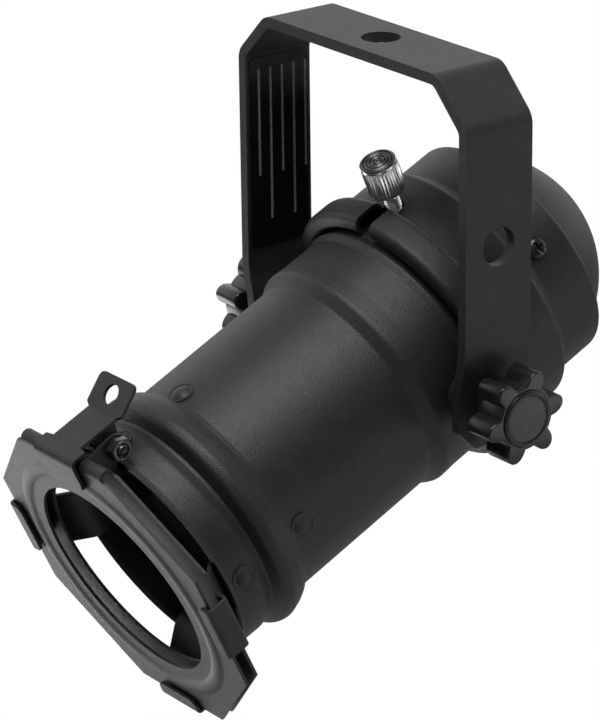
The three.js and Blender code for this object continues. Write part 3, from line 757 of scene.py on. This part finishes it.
def rear_housing():
    """Spun cover: a rolled edge, a sleeve with an open slot, a step, and a dome."""
    high = span("rear_housing")[1]
    dome = arc((0, DOME_CENTRE), DOME_RADIUS, DOME_START, -90, 24)
    wall = fillet([
        (32.9, high.z - 1.4),
        (33.4, high.z + SHEET / 2 - 0.9, 0.9),
        (36.7, high.z - SHEET / 2, 2.6),
        (36.7, -15.1, 2.9),
        (34, -15.9, 0.7),
        (34, -28.6, 1.6),
        (30.8, -31.8, 1.2),
        (30.8, -44.5, 0.8),
        tuple(dome[0]),
    ], steps=7)
    path = (wall + dome[1:])[::-1]
    outline = sheet(path, SHEET)
    outline[0].x = 0                # the dome's inside and outside both end on the axis
    outline[-1].x = 0
    shell = lathe(outline, 192)
    channel = block((-SLOT_HALF, THUMB_Z, 25), (SLOT_HALF, 0, 42))
    slot = into_can(join(channel, rod(SLOT_HALF, 26, 41)), ON_THUMB)
    gland_hole = into_can(rod(GLAND_HOLE, IN_THE_CAN, OUT_OF_THE_CAN), ON_GLAND)
    look("rear_housing", cut(shell, slot, *side_holes(SCREW_HOLE), gland_hole), bevel=0.4)


front_barrel()
rear_housing()

# ---------------- rivets and screws


RIVET_ROWS = {"rear": 53, "front": 72.5}
RIVET_SEATS = {"rear": 30.1, "front": 30.8}


def rivet(node, row, seat, turn):
    """A low domed head outside the can's wall, and a shank spread into a tail inside it."""
    dome = arc((0, seat - 3.1), 4.05, 39.9, 90, 10)
    head = [(2.6, seat), (3.1, seat), (3.15, seat + 0.1), *[(p.x * 0.95, p.y - 0.08) for p in dome]]
    foot = seat - 4.9
    tail = [(0, foot), (2, foot), (2.2, foot + 0.2), (2.2, foot + 0.5), (1.3, foot + 0.5), (1.3, seat)]
    look(node, lathe(tail + head, 48), on_can(row, turn), sharp=50)


for side, turn in {"top": 0, "left": 90, "bottom": 180, "right": 270}.items():
    for end, row in RIVET_ROWS.items():
        rivet(f"rivet_{side}_{end}", row, RIVET_SEATS[end], turn)


def cross_recess(top, depth, reach=1.6):
    """The tapered cross of a cross-head screw."""
    shoulder = top - depth * 0.3
    right = [(0.5, top - depth), (reach, shoulder), (reach, top + 1)]
    left = [(-x, z) for x, z in right[::-1]]
    bar = prism(left + right, -0.36, 0.36, upright)
    return join(bar, moved(bar.copy(), Matrix.Rotation(QUARTER, 4, "Z")))


def pan_head(seat, radius, height, shank, length):
    """A screw with a domed head on its seat and a threaded shank below."""
    pitch = 0.7
    turns = int(length / pitch)
    dome = []
    for k in range(8):
        a = QUARTER * k / 8
        dome.append((radius * math.cos(a), seat + height * (0.35 + 0.65 * math.sin(a))))
    outline = [
        (0, seat - length),
        (shank - 0.4, seat - length),
        *thread(shank - 0.25, shank, seat - 0.3 - pitch * (turns - 0.5), pitch, turns),
        (shank, seat),
        (radius - 0.15, seat),
        (radius, seat + 0.15),
        *dome,
        (0, seat + height),
    ]
    return lathe(outline, 48)


SCREW_SEAT = 31.45
SCREW_HEAD = 1.75


def housing_screw(node, turn):
    screw = cut(pan_head(SCREW_SEAT, 2.7, SCREW_HEAD, 1.5, 4), cross_recess(SCREW_SEAT + SCREW_HEAD, 1.1))
    look(node, screw, on_can(SCREW_Z, turn), bevel=0.06, sharp=45)


for k, turn in enumerate(SCREW_TURNS):
    housing_screw(f"housing_screw_{k + 1}", turn)

# ---------------- thumbscrew


TEETH = 36
HEAD_FOOT = 39.4
THUMB_PITCH = 0.8


def thumbscrew():
    """Knurled head with lathe rings on its top, on a threaded stem."""
    low, high = span("thumbscrew", ON_THUMB)
    foot, top = HEAD_FOOT, high.z
    outer = high.x
    turns = int((foot - low.z - 1) / THUMB_PITCH)
    stem = [(0, low.z + 0.05), (1.5, low.z + 0.05), *thread(1.6, 2, low.z + 0.6, THUMB_PITCH, turns)]
    head = [(1.8, foot - 0.05), (outer - 1.1, foot), (outer - 0.5, foot + 0.45)]
    knurl = [(outer - 0.35, foot + 0.8), (outer, foot + 1.3), (outer, top - 1.6), (outer - 0.3, top - 1.2)]
    crown = [(outer - 0.12, top - 1.1), (outer - 0.1, top - 0.5), (outer - 0.5, top - 0.1)]
    rings = [(outer - 0.6 - 0.13 * k, top - 0.1 - (0.07 if k % 4 in (1, 2) else 0)) for k in range(30)]
    profile = [(r, z, 0) for r, z in stem + head]
    profile += [(r, z, 0.3 if k in (1, 2) else 0.12) for k, (r, z) in enumerate(knurl)]
    profile += [(r, z, 0) for r, z in crown + [p for p in rings if p[0] > 0.05]] + [(0, top - 0.12, 0)]

    def section(angle):
        groove = abs(math.sin(TEETH * angle / 2)) ** 1.5
        return [(max(r - depth * groove, 0), z) for r, z, depth in profile]

    look("thumbscrew", around(section, TEETH * 8), ON_THUMB, sharp=28)


thumbscrew()

# ---------------- pivots and knobs

LOBES = 6
KNOB_TURN = -15                     # degrees
TIP = 11.6
VALLEY = 8
LOBE_HALF = math.radians(18)
LOBE_EDGE = 0.5                     # rounding of the lobes' edges
LOBE_FACETS = 32
COLLAR = 6.4
COLLAR_LENGTH = 2.7
KNOB_BORE = 4.5
CAP_SEAT = 7.1
CAP_SEAT_DEPTH = 0.6
CAP_OVERLAP = 0.35                  # how far the cap's rim stands past its CAD solid


def knob(side):
    """Six narrow lobes round a collar, with a seat for the cap in the face."""
    where = on_pivot(side, KNOB_TURN)
    low, high = span(f"knob_{side}", where)
    back, face = low.z, high.z
    lobes_back = back + COLLAR_LENGTH
    rim = []
    for k in range(6):
        a = QUARTER * k / 5
        rim.append((LOBE_EDGE * (1 - math.sin(a)), lobes_back + LOBE_EDGE * (1 - math.cos(a))))
    for k in range(1, 6):
        a = QUARTER * k / 5
        rim.append((LOBE_EDGE * (1 - math.cos(a)), face - LOBE_EDGE * (1 - math.sin(a))))
    collar = [(KNOB_BORE, back), (COLLAR - 0.3, back), (COLLAR, back + 0.3), (COLLAR, lobes_back)]
    seat = [
        (CAP_SEAT + 0.05, face),
        (CAP_SEAT - 0.05, face - 0.1),
        (CAP_SEAT - 0.05, face - CAP_SEAT_DEPTH),
        (KNOB_BORE, face - CAP_SEAT_DEPTH),
    ]

    def section(angle):
        pitch = 2 * math.pi / LOBES
        offset = abs((angle + pitch / 2) % pitch - pitch / 2) / LOBE_HALF
        radius = VALLEY + (TIP - VALLEY) * max(1 - offset ** 2, 0) ** 0.8
        return collar + [(radius - inset, z) for inset, z in rim] + seat

    look(f"knob_{side}", around(section, LOBES * LOBE_FACETS), where, sharp=42)


def knob_cap(side):
    """A moulded disc with a raised rim round a shallow dish."""
    where = on_pivot(side)
    low, high = span(f"knob_cap_{side}", where)
    radius, top = high.x + CAP_OVERLAP, high.z
    shape = fillet([
        (0, low.z),
        (radius, low.z, 0.1),
        (radius, top - 0.32, 0.2),
        (radius - 0.7, top, 0.4),
        (radius - 1.4, top - 0.25, 0.6),
        (0, top - 0.1),
    ], steps=5)
    look(f"knob_cap_{side}", lathe(shape, 128), where, sharp=50)


RING_BEVELS = {"pivot_spacer": 0.3, "friction_washer": 0.3, "outer_washer": 0.2, "knob_insert": 0.2}
BOLT = 2.5
BOLT_HEAD_HEIGHT = 2.5
BOLT_THREAD_START = 33.5


def pivot(side):
    """The rings along one side of the tilt axis, and the domed bolt through them."""
    where = on_pivot(side)
    for node, bevel in RING_BEVELS.items():
        low, high = span(f"{node}_{side}", where)
        look(f"{node}_{side}", ring(PIVOT_HOLE, high.x, low.z, high.z), where, bevel=bevel)
    low, high = span(f"pivot_bolt_{side}", where)
    seat = low.z + BOLT_HEAD_HEIGHT
    head = fillet([(0, low.z), (high.x, low.z, 1.2), (high.x, seat), (BOLT, seat)], steps=4)
    threaded = thread(BOLT, BOLT - 0.3, BOLT_THREAD_START + 0.5, 0.8, 22)
    outline = [*head, (BOLT, BOLT_THREAD_START), *threaded, (1.9, high.z), (0, high.z)]
    look(f"pivot_bolt_{side}", lathe(outline, 48), where, sharp=50)


for side in ("right", "left"):
    pivot(side)
    knob(side)
    knob_cap(side)

# ---------------- clips, latch and filter frame

STRIP = 0.9                         # thickness of the clips' sheet
STRIP_Y = 27
CLIP_HALF = 7.5                     # half a clip's width
TAIL_Z = 49
TAIL_CORNER = 3
LIP_LENGTH = 4.1
LIP_CORNER = 2
FRAME_FRONT = 88
FRAME_DEPTH = 3.9
HEEL_GAP = 0.3
BACK_PLANE = FRAME_FRONT - FRAME_DEPTH - HEEL_GAP - STRIP / 2


def arm(reach):
    """The middle of a strip that lies in the can, flares out of its mouth and stands behind the frame."""
    return [(TAIL_Z, STRIP_Y), (77, STRIP_Y, 5), (BACK_PLANE, STRIP_Y + 7.4, 6), (BACK_PLANE, reach, 0.8)]


def clip(node, turn, reach):
    """Such a strip with a lip in front of the frame, and rounded at both ends."""
    lip_z = FRAME_FRONT + HEEL_GAP + STRIP / 2
    lip_end = reach - LIP_LENGTH
    path = dense(fillet([*arm(reach), (lip_z, reach, 0.8), (lip_z, lip_end)], steps=8), 0.6)

    def half_width(z, y):
        if z > lip_z - 0.3:
            return rounded_end(CLIP_HALF, LIP_CORNER, y - lip_end)
        return rounded_end(CLIP_HALF, TAIL_CORNER, z - TAIL_Z)

    look(node, strap(path, half_width, STRIP), about_can(turn), bevel=0.2, sharp=40)


SIDE_REACH = span("clip_right")[1].x - STRIP / 2
BOTTOM_REACH = -span("clip_bottom")[0].y - STRIP / 2
clip("clip_left", 90, SIDE_REACH)
clip("clip_right", -90, SIDE_REACH)
clip("clip_bottom", 180, BOTTOM_REACH)

PIN_Y = 35
PIN_Z = 76.8
PIN_RADIUS = 1.5
BRACKET_REACH = 37.4
EAR_X = 6.55
EAR = 3.2                           # radius round the pin
PLATE_Y = 39.9
PLATE_HALF = 8
PLATE_END = 84.6
WAIST_HALF = 5.5
LATCH_LIP_END = 30.6
LATCH_LIP_CORNER = 3.4
HEEL_Z = 73
TAB_END = (65.2, PLATE_Y + 4.7)
TAB_WIDENING = 1.5                  # of each half, from the waist
TAB_CORNER = 1.8
EYE = 2.5
CHEEK = 2.4                         # radius round the pin
CHEEK_X = 4.75
ON_PIN = CAN @ Matrix.Translation((0, PIN_Y, PIN_Z)) @ Z_TO_X


def pin_hole():
    """A tool for the pin's hole through the ears and the cheeks."""
    return shifted(moved(rod(PIN_RADIUS + 0.3, -12, 12), Z_TO_X), y=PIN_Y, z=PIN_Z)


def latch_bracket():
    """A strip like the clips', with two ears for the pin."""
    path = dense(fillet(arm(BRACKET_REACH), steps=8), 0.6)
    strip = strap(path, lambda z, y: 7, STRIP)
    tip = arc((PIN_Z, PIN_Y), EAR, 75, 170, 16)
    outline = [(74.2, 32.7), (78.3, 32.7), (79, 29.6), (84, 34.2), (84, BRACKET_REACH), *tip]
    ears = [prism(outline, x - STRIP / 2, x + STRIP / 2, across) for x in (-EAR_X, EAR_X)]
    look("latch_bracket", cut(join(strip, *ears), pin_hole()), bevel=0.18)


def latch():
    """A lip over the frame, a plate with two cheeks on the pin, and a finger tab with an eye."""
    lip_z = span("latch")[1].z - STRIP / 2
    heel = (HEEL_Z, PLATE_Y)
    lip_end, lip_corner = (lip_z, LATCH_LIP_END), (lip_z, PLATE_Y, 1.6)
    path = dense(fillet([lip_end, lip_corner, (*heel, 1.2), TAB_END], steps=8), 0.35)
    tab_length = math.dist(heel, TAB_END)

    def half_width(z, y):
        if z > lip_z - 0.6:
            return rounded_end(PLATE_HALF, LATCH_LIP_CORNER, y - LATCH_LIP_END)
        if z > PLATE_END:
            return PLATE_HALF
        if z > HEEL_Z:
            return WAIST_HALF
        opened = WAIST_HALF + TAB_WIDENING * min((HEEL_Z - z) / 0.9, 1)
        return rounded_end(opened, TAB_CORNER, tab_length - math.dist((z, y), heel))

    strip = strap(path, half_width, STRIP)
    tab_tilt = math.atan2(TAB_END[1] - PLATE_Y, HEEL_Z - TAB_END[0])
    on_tab = Matrix.Translation((0, PLATE_Y + 2.6, 69)) @ Matrix.Rotation(tab_tilt - QUARTER, 4, "X")
    eye = moved(rod(EYE, -4, 4), on_tab)
    side_view = [(80.6, PLATE_Y + 1), (73.4, PLATE_Y + 1), *arc((PIN_Z, PIN_Y), CHEEK, 190, 350, 20)]
    cheeks = []
    for side in (-1, 1):
        cheek_x = side * CHEEK_X
        bend = fillet([(side * 2.5, PLATE_Y), (cheek_x, PLATE_Y, 1.2), (cheek_x, 30)], steps=6)
        flange = prism(sheet(bend, STRIP), 73, 81, along)
        cheeks.append(common(flange, prism(side_view, -9, 9, across)))
    look("latch", cut(join(strip, *cheeks), eye, pin_hole()), bevel=0.18)


def latch_pin():
    """A small screw across the ears."""
    low, high = span("latch_pin", ON_PIN)
    seat = low.z + 1.9
    head = [(0, low.z), (1.6, low.z + 0.05), (2.4, low.z + 0.5), (2.7, low.z + 1.1), (2.7, seat)]
    shank = [(PIN_RADIUS, seat), (PIN_RADIUS, 7.4), *thread(PIN_RADIUS, 1.28, 7.6, 0.5, 6)]
    tip = [(1.35, high.z - 0.35), (0.8, high.z - 0.05), (0, high.z)]
    look("latch_pin", lathe(head + shank + tip, 48), ON_PIN, sharp=50)


LATCH_NUT = 3.1
LATCH_NUT_BORE = 1.8


def latch_nut():
    """A hexagon nut with its outer corners turned off."""
    low, high = span("latch_nut", ON_PIN)
    blank = prism(hexagon(LATCH_NUT), low.z, high.z, along)
    turned = lathe([
        (LATCH_NUT_BORE, low.z),
        (LATCH_NUT, low.z),
        (LATCH_NUT, high.z - 0.5),
        (2.4, high.z),
        (LATCH_NUT_BORE, high.z),
    ], 64)
    look("latch_nut", common(blank, turned), ON_PIN, bevel=0.12)


def latch_spring():
    """A coil of round wire about the pin."""
    low, high = span("latch_spring", ON_PIN)
    turns, coil, wire = 4.25, 2.35, 0.3
    start, end = low.z + wire, high.z - wire
    steps, sides = 160, 12
    up = Vector((0, 0, 1))
    rows = []
    for k in range(steps + 1):
        t = k / steps
        angle = 2 * math.pi * turns * t
        out = Vector((math.cos(angle), math.sin(angle), 0))
        centre = coil * out + up * (start + (end - start) * t)
        row = []
        for j in range(sides):
            a = 2 * math.pi * j / sides
            row.append(centre + wire * (out * math.cos(a) + up * math.sin(a)))
        rows.append(row)
    look("latch_spring", grid(rows, closed_rows=False), ON_PIN)


latch_bracket()
latch()
latch_pin()
latch_nut()
latch_spring()

APOTHEM = 39.8
WINDOW = 27.4
FRAME_Y = -1
PLATE_SHEET = 0.8
RIDGE = 33                          # radius of the front plate's raised ring
RIDGE_HALF = 2.4
RIDGE_HEIGHT = 0.5


def octagon_plate(front, ridge_height):
    """One octagonal plate with a round window and a raised ring, cut short where the fold starts."""
    fold_y = APOTHEM - FRAME_DEPTH / 2
    levels = [WINDOW, WINDOW + 0.6, *[RIDGE + RIDGE_HALF * k / 4 for k in range(-4, 5)]]

    def section(angle):
        eighth = (angle + math.pi / 8) % (math.pi / 4) - math.pi / 8
        edge = APOTHEM / math.cos(eighth)
        if math.sin(angle) > 0:
            edge = min(edge, fold_y / math.sin(angle))
        face = []
        for radius in [*levels, edge]:
            from_ridge = min(abs(radius - RIDGE) / RIDGE_HALF, 1)
            face.append((radius, front + ridge_height * math.cos(from_ridge * QUARTER)))
        return face + [(radius, z - PLATE_SHEET) for radius, z in face[::-1]]

    return shifted(around(section, 192), y=FRAME_Y)


def filter_frame():
    """One sheet folded at its top into two octagonal plates."""
    back = FRAME_FRONT - FRAME_DEPTH
    fold_y = FRAME_Y + APOTHEM - FRAME_DEPTH / 2
    bend = (FRAME_DEPTH - PLATE_SHEET) / 2
    side = APOTHEM * math.tan(math.pi / 8)
    turn = arc((FRAME_FRONT - FRAME_DEPTH / 2, fold_y), bend, 180, 0, 20)
    rear_end = Vector((back + PLATE_SHEET / 2, fold_y - 1))
    front_end = Vector((FRAME_FRONT - PLATE_SHEET / 2, fold_y - 1))
    folded = prism(sheet([rear_end, *turn, front_end], PLATE_SHEET), -side, side, across)
    front = octagon_plate(FRAME_FRONT, RIDGE_HEIGHT)
    rear = octagon_plate(back + PLATE_SHEET, 0)
    look("filter_frame", join(front, rear, folded), bevel=0.16, sharp=40)


filter_frame()

# ---------------- lamp and what holds it


REFLECTOR_FLATS = 36
FLAT_DEPTH = 0.16
REFLECTOR_FLOOR = -14


def lamp_body():
    """Pressed reflector, with flats inside, and its neck and base."""
    low, high = span("lamp_body")
    base, rim = low.z, high.z
    neck = [(0, base), (11, base), (12.2, base + 0.6), (12.6, base + 3), (12.8, -16)]
    bowl = [(16, -11), (20, -2), (23, 8), (24.8, 17), (25.3, 19.2), (25.3, rim - 0.4)]
    lip = [(24.9, rim), (24.1, rim), (24.1, 19.6)]
    upper = [(23.2, 17.4), (22.5, 14), (21.6, 10), (20.5, 5), (19, 0)]
    lower = [(17, -4.5), (14.4, -9), (11, -12.6), (6, REFLECTOR_FLOOR)]
    flat_angle = 2 * math.pi / REFLECTOR_FLATS

    def section(angle):
        across_flat = (angle % flat_angle) / flat_angle - 0.5
        dent = FLAT_DEPTH * (1 - 4 * across_flat ** 2)
        flats = [(r - dent * min(r / 20, 1), z) for r, z in upper + lower]
        return [*neck, *bowl, *lip, *flats, (0, REFLECTOR_FLOOR)]

    look("lamp_body", around(section, 144), sharp=30)


def lamp_glass_disc():
    """The lamp's front glass, slightly crowned."""
    low, high = span("lamp_glass")
    radius = high.x
    shape = fillet([
        (0, low.z + 0.6),
        (radius * 0.9, low.z, 6),
        (radius, low.z, 0.3),
        (radius, high.z - 0.4, 0.3),
        (radius * 0.9, high.z - 0.3, 4),
        (0, high.z),
    ], steps=5)
    look("lamp_glass", lathe(shape, 144), sharp=50)


def lamp_capsule():
    """The small bulb inside the reflector, with a pinched foot and a drawn-out tip."""
    low, high = span("lamp_capsule")
    shape = fillet([
        (0, low.z),
        (3.9, low.z, 0.6),
        (4, low.z + 9, 1.5),
        (5, low.z + 11, 2),
        (4.9, low.z + 19, 3),
        (2.6, high.z - 1.4, 2),
        (1, high.z, 0.6),
        (0, high.z),
    ], steps=5)
    look("lamp_capsule", lathe(shape, 64), sharp=50)


LAMP_PIN_X = 5
HOLDER_SCREW_Y = 10.4
SCREW_SHANK = 1.5
EARTH_SCREW_X = 16


def lamp_pin(side, x):
    """A contact pin with a wider foot."""
    node = f"lamp_pin_{side}"
    low, high = span(node)
    foot = [(0, low.z), (2.2, low.z, 0.4), (2.2, low.z + 2.2, 0.3)]
    shape = fillet([*foot, (1.5, low.z + 2.8, 0.2), (1.5, high.z), (0, high.z)])
    look(node, shifted(lathe(shape, 48), x=x), sharp=50)


def lampholder():
    """A ceramic disc with two wells for the lamp's pins and two sunk screw holes."""
    low, high = span("lampholder")
    wells = [shifted(rod(3, high.z - 9, high.z + 1), x=x) for x in (-LAMP_PIN_X, LAMP_PIN_X)]
    for y in (-HOLDER_SCREW_Y, HOLDER_SCREW_Y):
        sunk = join(rod(SCREW_HOLE, low.z - 1, high.z + 1), rod(2.9, high.z - 3, high.z + 1))
        wells.append(shifted(sunk, y=y))
    look("lampholder", cut(rod(high.x, low.z, high.z, 96), *wells), bevel=0.5)


def holder_screw(node, y):
    low, high = span(node)
    seat = high.z - 2
    screw = cut(pan_head(seat, 2.6, 2, SCREW_SHANK, seat - low.z), cross_recess(high.z, 1.1))
    look(node, shifted(screw, y=y), bevel=0.05, sharp=45)


CARRIER = 29.5
CARRIER_SHEET = 1


def lamp_carrier():
    """Sheet plate behind the holder with three bent tabs for the cover's screws."""
    low, high = span("lamp_carrier")
    below, above = low.z - 1, low.z + 2
    tab_ring = ring(CARRIER - CARRIER_SHEET, CARRIER, low.z, high.z, 144)
    tabs = []
    for turn in SCREW_TURNS:
        space = into_can(block((-5, -6, 25), (5, 8, 31)), on_can(SCREW_Z, turn))
        tabs.append(common(tab_ring.copy(), space))
    tools = [rod(6, below, above)]
    for k in range(3):
        notch = block((-9, 19, below), (9, 31, above))
        tools.append(moved(notch, Matrix.Rotation(math.radians(120 * k), 4, "Z")))
    for x, y in [(0, HOLDER_SCREW_Y), (0, -HOLDER_SCREW_Y), (EARTH_SCREW_X, 0)]:
        tools.append(shifted(rod(SCREW_HOLE, below, above), x=x, y=y))
    plate = cut(rod(CARRIER, low.z, low.z + CARRIER_SHEET, 144), *tools)
    look("lamp_carrier", cut(join(plate, *tabs), *side_holes(SCREW_HOLE)), bevel=0.12)


def terminal_block():
    """A block with three wire holes through it and three screw wells in its back."""
    low, high = span("terminal_block")
    middle = (low + high) / 2
    tools = []
    for y in (-6, 0, 6):
        tools.append(shifted(moved(rod(1.6, low.x - 2, high.x + 2, 32), Z_TO_X), y=y, z=middle.z))
        tools.append(shifted(rod(1.7, low.z - 1, low.z + 1.5, 32), x=middle.x, y=y))
    look("terminal_block", cut(block(low, high), *tools), bevel=0.3)


def earth_screw():
    """A screw put in from behind, so it's made the other way up and turned over."""
    low, high = span("earth_screw")
    seat = low.z + 2
    turned_over = Matrix.Translation((EARTH_SCREW_X, 0, 0)) @ Matrix.Scale(-1, 4, (0, 0, 1))
    screw = cut(pan_head(-seat, 2.8, 2, SCREW_SHANK, high.z - seat), cross_recess(-low.z, 1))
    look("earth_screw", moved(screw, turned_over), bevel=0.05, sharp=45)


def cable_gland():
    """A moulded inlet: a neck through the dome, a flange, and a tapered mouth."""
    low, high = span("cable_gland", ON_GLAND)
    seat = high.z - 6
    bore, neck, flange = 2.6, 4.3, 7
    shape = fillet([
        (bore, low.z),
        (neck, low.z, 0.3),
        (neck, seat, 0.1),
        (flange, seat, 0.3),
        (flange, seat + 1.4, 0.6),
        (5.7, seat + 2, 0.6),
        (4.6, high.z, 0.8),
        (bore, high.z, 0.5),
        (bore, low.z + 0.5),
    ], steps=4)
    look("cable_gland", lathe(shape, 72), ON_GLAND, sharp=45)


def gland_nut():
    low, high = span("gland_nut", ON_GLAND)
    nut = cut(prism(hexagon(7.2), low.z, high.z, along), rod(GLAND_HOLE, low.z - 1, high.z + 1))
    look("gland_nut", nut, ON_GLAND, bevel=0.3)


def thumbscrew_bush():
    low, high = span("thumbscrew_bush", ON_THUMB)
    look("thumbscrew_bush", ring(THUMB_HOLE, high.x, low.z, high.z), ON_THUMB, bevel=0.25)


lamp_body()
lamp_glass_disc()
lamp_capsule()
lamp_pin("left", -LAMP_PIN_X)
lamp_pin("right", LAMP_PIN_X)
lampholder()
holder_screw("holder_screw_upper", HOLDER_SCREW_Y)
holder_screw("holder_screw_lower", -HOLDER_SCREW_Y)
lamp_carrier()
terminal_block()
earth_screw()
cable_gland()
gland_nut()
thumbscrew_bush()

# ---------------- camera, floor and lights

CAMERA_AZIMUTH = math.radians(52.96)
CAMERA_ELEVATION = math.radians(20.83)
CAMERA_ROLL = math.radians(-0.72)
CAMERA_DISTANCE = 0.893             # this and the lengths below in metres
CAMERA_ASIDE = -0.0074              # of the line of sight from the middle of the object
LENS = 183.3                        # millimetres
FLOOR_BELOW = 0.4
FLOOR_HALF = 12
MIDDLE = (cad_bounds[0] + cad_bounds[1]) / 2
RIGHT = Vector((math.cos(CAMERA_AZIMUTH), math.sin(CAMERA_AZIMUTH), 0))     # level, as the camera sees it
NEAR = Vector((math.sin(CAMERA_AZIMUTH), -math.cos(CAMERA_AZIMUTH), 0))     # level, towards the camera


def camera():
    back = NEAR * math.cos(CAMERA_ELEVATION) + Vector((0, 0, math.sin(CAMERA_ELEVATION)))
    lens = bpy.data.cameras.new("camera")
    lens.lens = LENS
    lens.clip_start = 0.05
    lens.clip_end = 30
    eye = bpy.data.objects.new("camera", lens)
    eye.location = MIDDLE + RIGHT * CAMERA_ASIDE + back * CAMERA_DISTANCE
    roll = Matrix.Rotation(CAMERA_ROLL, 4, back)
    eye.rotation_mode = "QUATERNION"
    eye.rotation_quaternion = roll.to_quaternion() @ (-back).to_track_quat("-Z", "Y")
    bpy.context.scene.collection.objects.link(eye)
    bpy.context.scene.camera = eye


def seen_white(nodes, links, lit, surface):
    """White where the camera looks straight at it, and the plain shader for all other light."""
    white = nodes.new("ShaderNodeEmission")
    white.inputs["Color"].default_value = (1, 1, 1, 1)
    white.inputs["Strength"].default_value = 1.0
    rays = nodes.new("ShaderNodeLightPath")
    choice = nodes.new("ShaderNodeMixShader")
    links.new(rays.outputs["Is Camera Ray"], choice.inputs[0])
    links.new(lit, choice.inputs[1])
    links.new(white.outputs["Emission"], choice.inputs[2])
    links.new(choice.outputs["Shader"], surface)


def floor(height):
    """Pale paper, which the camera sees as white."""
    bm = bmesh.new()
    bmesh.ops.create_grid(bm, x_segments=1, y_segments=1, size=FLOOR_HALF)
    mesh = bpy.data.meshes.new("floor")
    bm.to_mesh(mesh)
    made = bpy.data.objects.new("floor", mesh)
    made.location.z = height
    bpy.context.scene.collection.objects.link(made)
    paper = bpy.data.materials.new("paper")
    paper.use_nodes = True
    nodes, links = paper.node_tree.nodes, paper.node_tree.links
    shader = nodes["Principled BSDF"]
    shader.inputs["Base Color"].default_value = (0.5, 0.5, 0.5, 1)
    shader.inputs["Roughness"].default_value = 0.9
    seen_white(nodes, links, shader.outputs["BSDF"], nodes["Material Output"].inputs["Surface"])
    mesh.materials.append(paper)


def softbox(name, aside, above, towards, size, power):
    """A soft light placed from the middle of the object as the camera sees it, in metres."""
    data = bpy.data.lights.new(name, "AREA")
    data.shape = "RECTANGLE"
    data.size, data.size_y = size
    data.energy = power
    lamp = bpy.data.objects.new(name, data)
    place = RIGHT * aside + Vector((0, 0, above)) + NEAR * towards
    lamp.location = MIDDLE + place
    lamp.rotation_mode = "QUATERNION"
    lamp.rotation_quaternion = (-place).to_track_quat("-Z", "Y")
    bpy.context.scene.collection.objects.link(lamp)


def world(behind, before):
    """A bright backdrop on the far side of the object, fading to a dim room on the camera's side."""
    made = bpy.data.worlds.new("studio")
    made.use_nodes = True
    nodes, links = made.node_tree.nodes, made.node_tree.links
    sky = nodes["Background"]
    sky.inputs["Color"].default_value = (1, 1, 1, 1)
    direction = nodes.new("ShaderNodeTexCoord").outputs["Generated"]
    towards = nodes.new("ShaderNodeVectorMath")
    towards.operation = "DOT_PRODUCT"
    towards.inputs[1].default_value = NEAR
    height = nodes.new("ShaderNodeSeparateXYZ")
    links.new(direction, towards.inputs[0])
    links.new(direction, height.inputs["Vector"])

    def fade(value, start, end, low, high):
        """A soft step from one level to another, each a number or another fade."""
        node = nodes.new("ShaderNodeMapRange")
        node.interpolation_type = "SMOOTHSTEP"
        node.inputs["From Min"].default_value = start
        node.inputs["From Max"].default_value = end
        links.new(value, node.inputs["Value"])
        for socket, level in (("To Min", low), ("To Max", high)):
            if isinstance(level, (int, float)):
                node.inputs[socket].default_value = level
            else:
                links.new(level, node.inputs[socket])
        return node.outputs["Result"]

    backdrop = fade(height.outputs["Z"], 0.5, 0.95, behind, before)
    links.new(fade(towards.outputs["Value"], -0.3, 0.3, backdrop, before), sky.inputs["Strength"])
    seen_white(nodes, links, sky.outputs["Background"], nodes["World Output"].inputs["Surface"])
    bpy.context.scene.world = made


def studio():
    camera()
    floor(cad_bounds[0].z - FLOOR_BELOW)
    softbox("above", aside=-0.1, above=1.4, towards=0.5, size=(1.0, 0.8), power=20)
    softbox("under", aside=-0.38, above=-0.42, towards=-0.4, size=(0.45, 0.4), power=1.4)
    softbox("right", aside=1.15, above=-0.38, towards=0.32, size=(0.8, 0.45), power=1.4)
    world(behind=1.0, before=0.08)
    bpy.context.scene.view_settings.view_transform = "Standard"


studio()
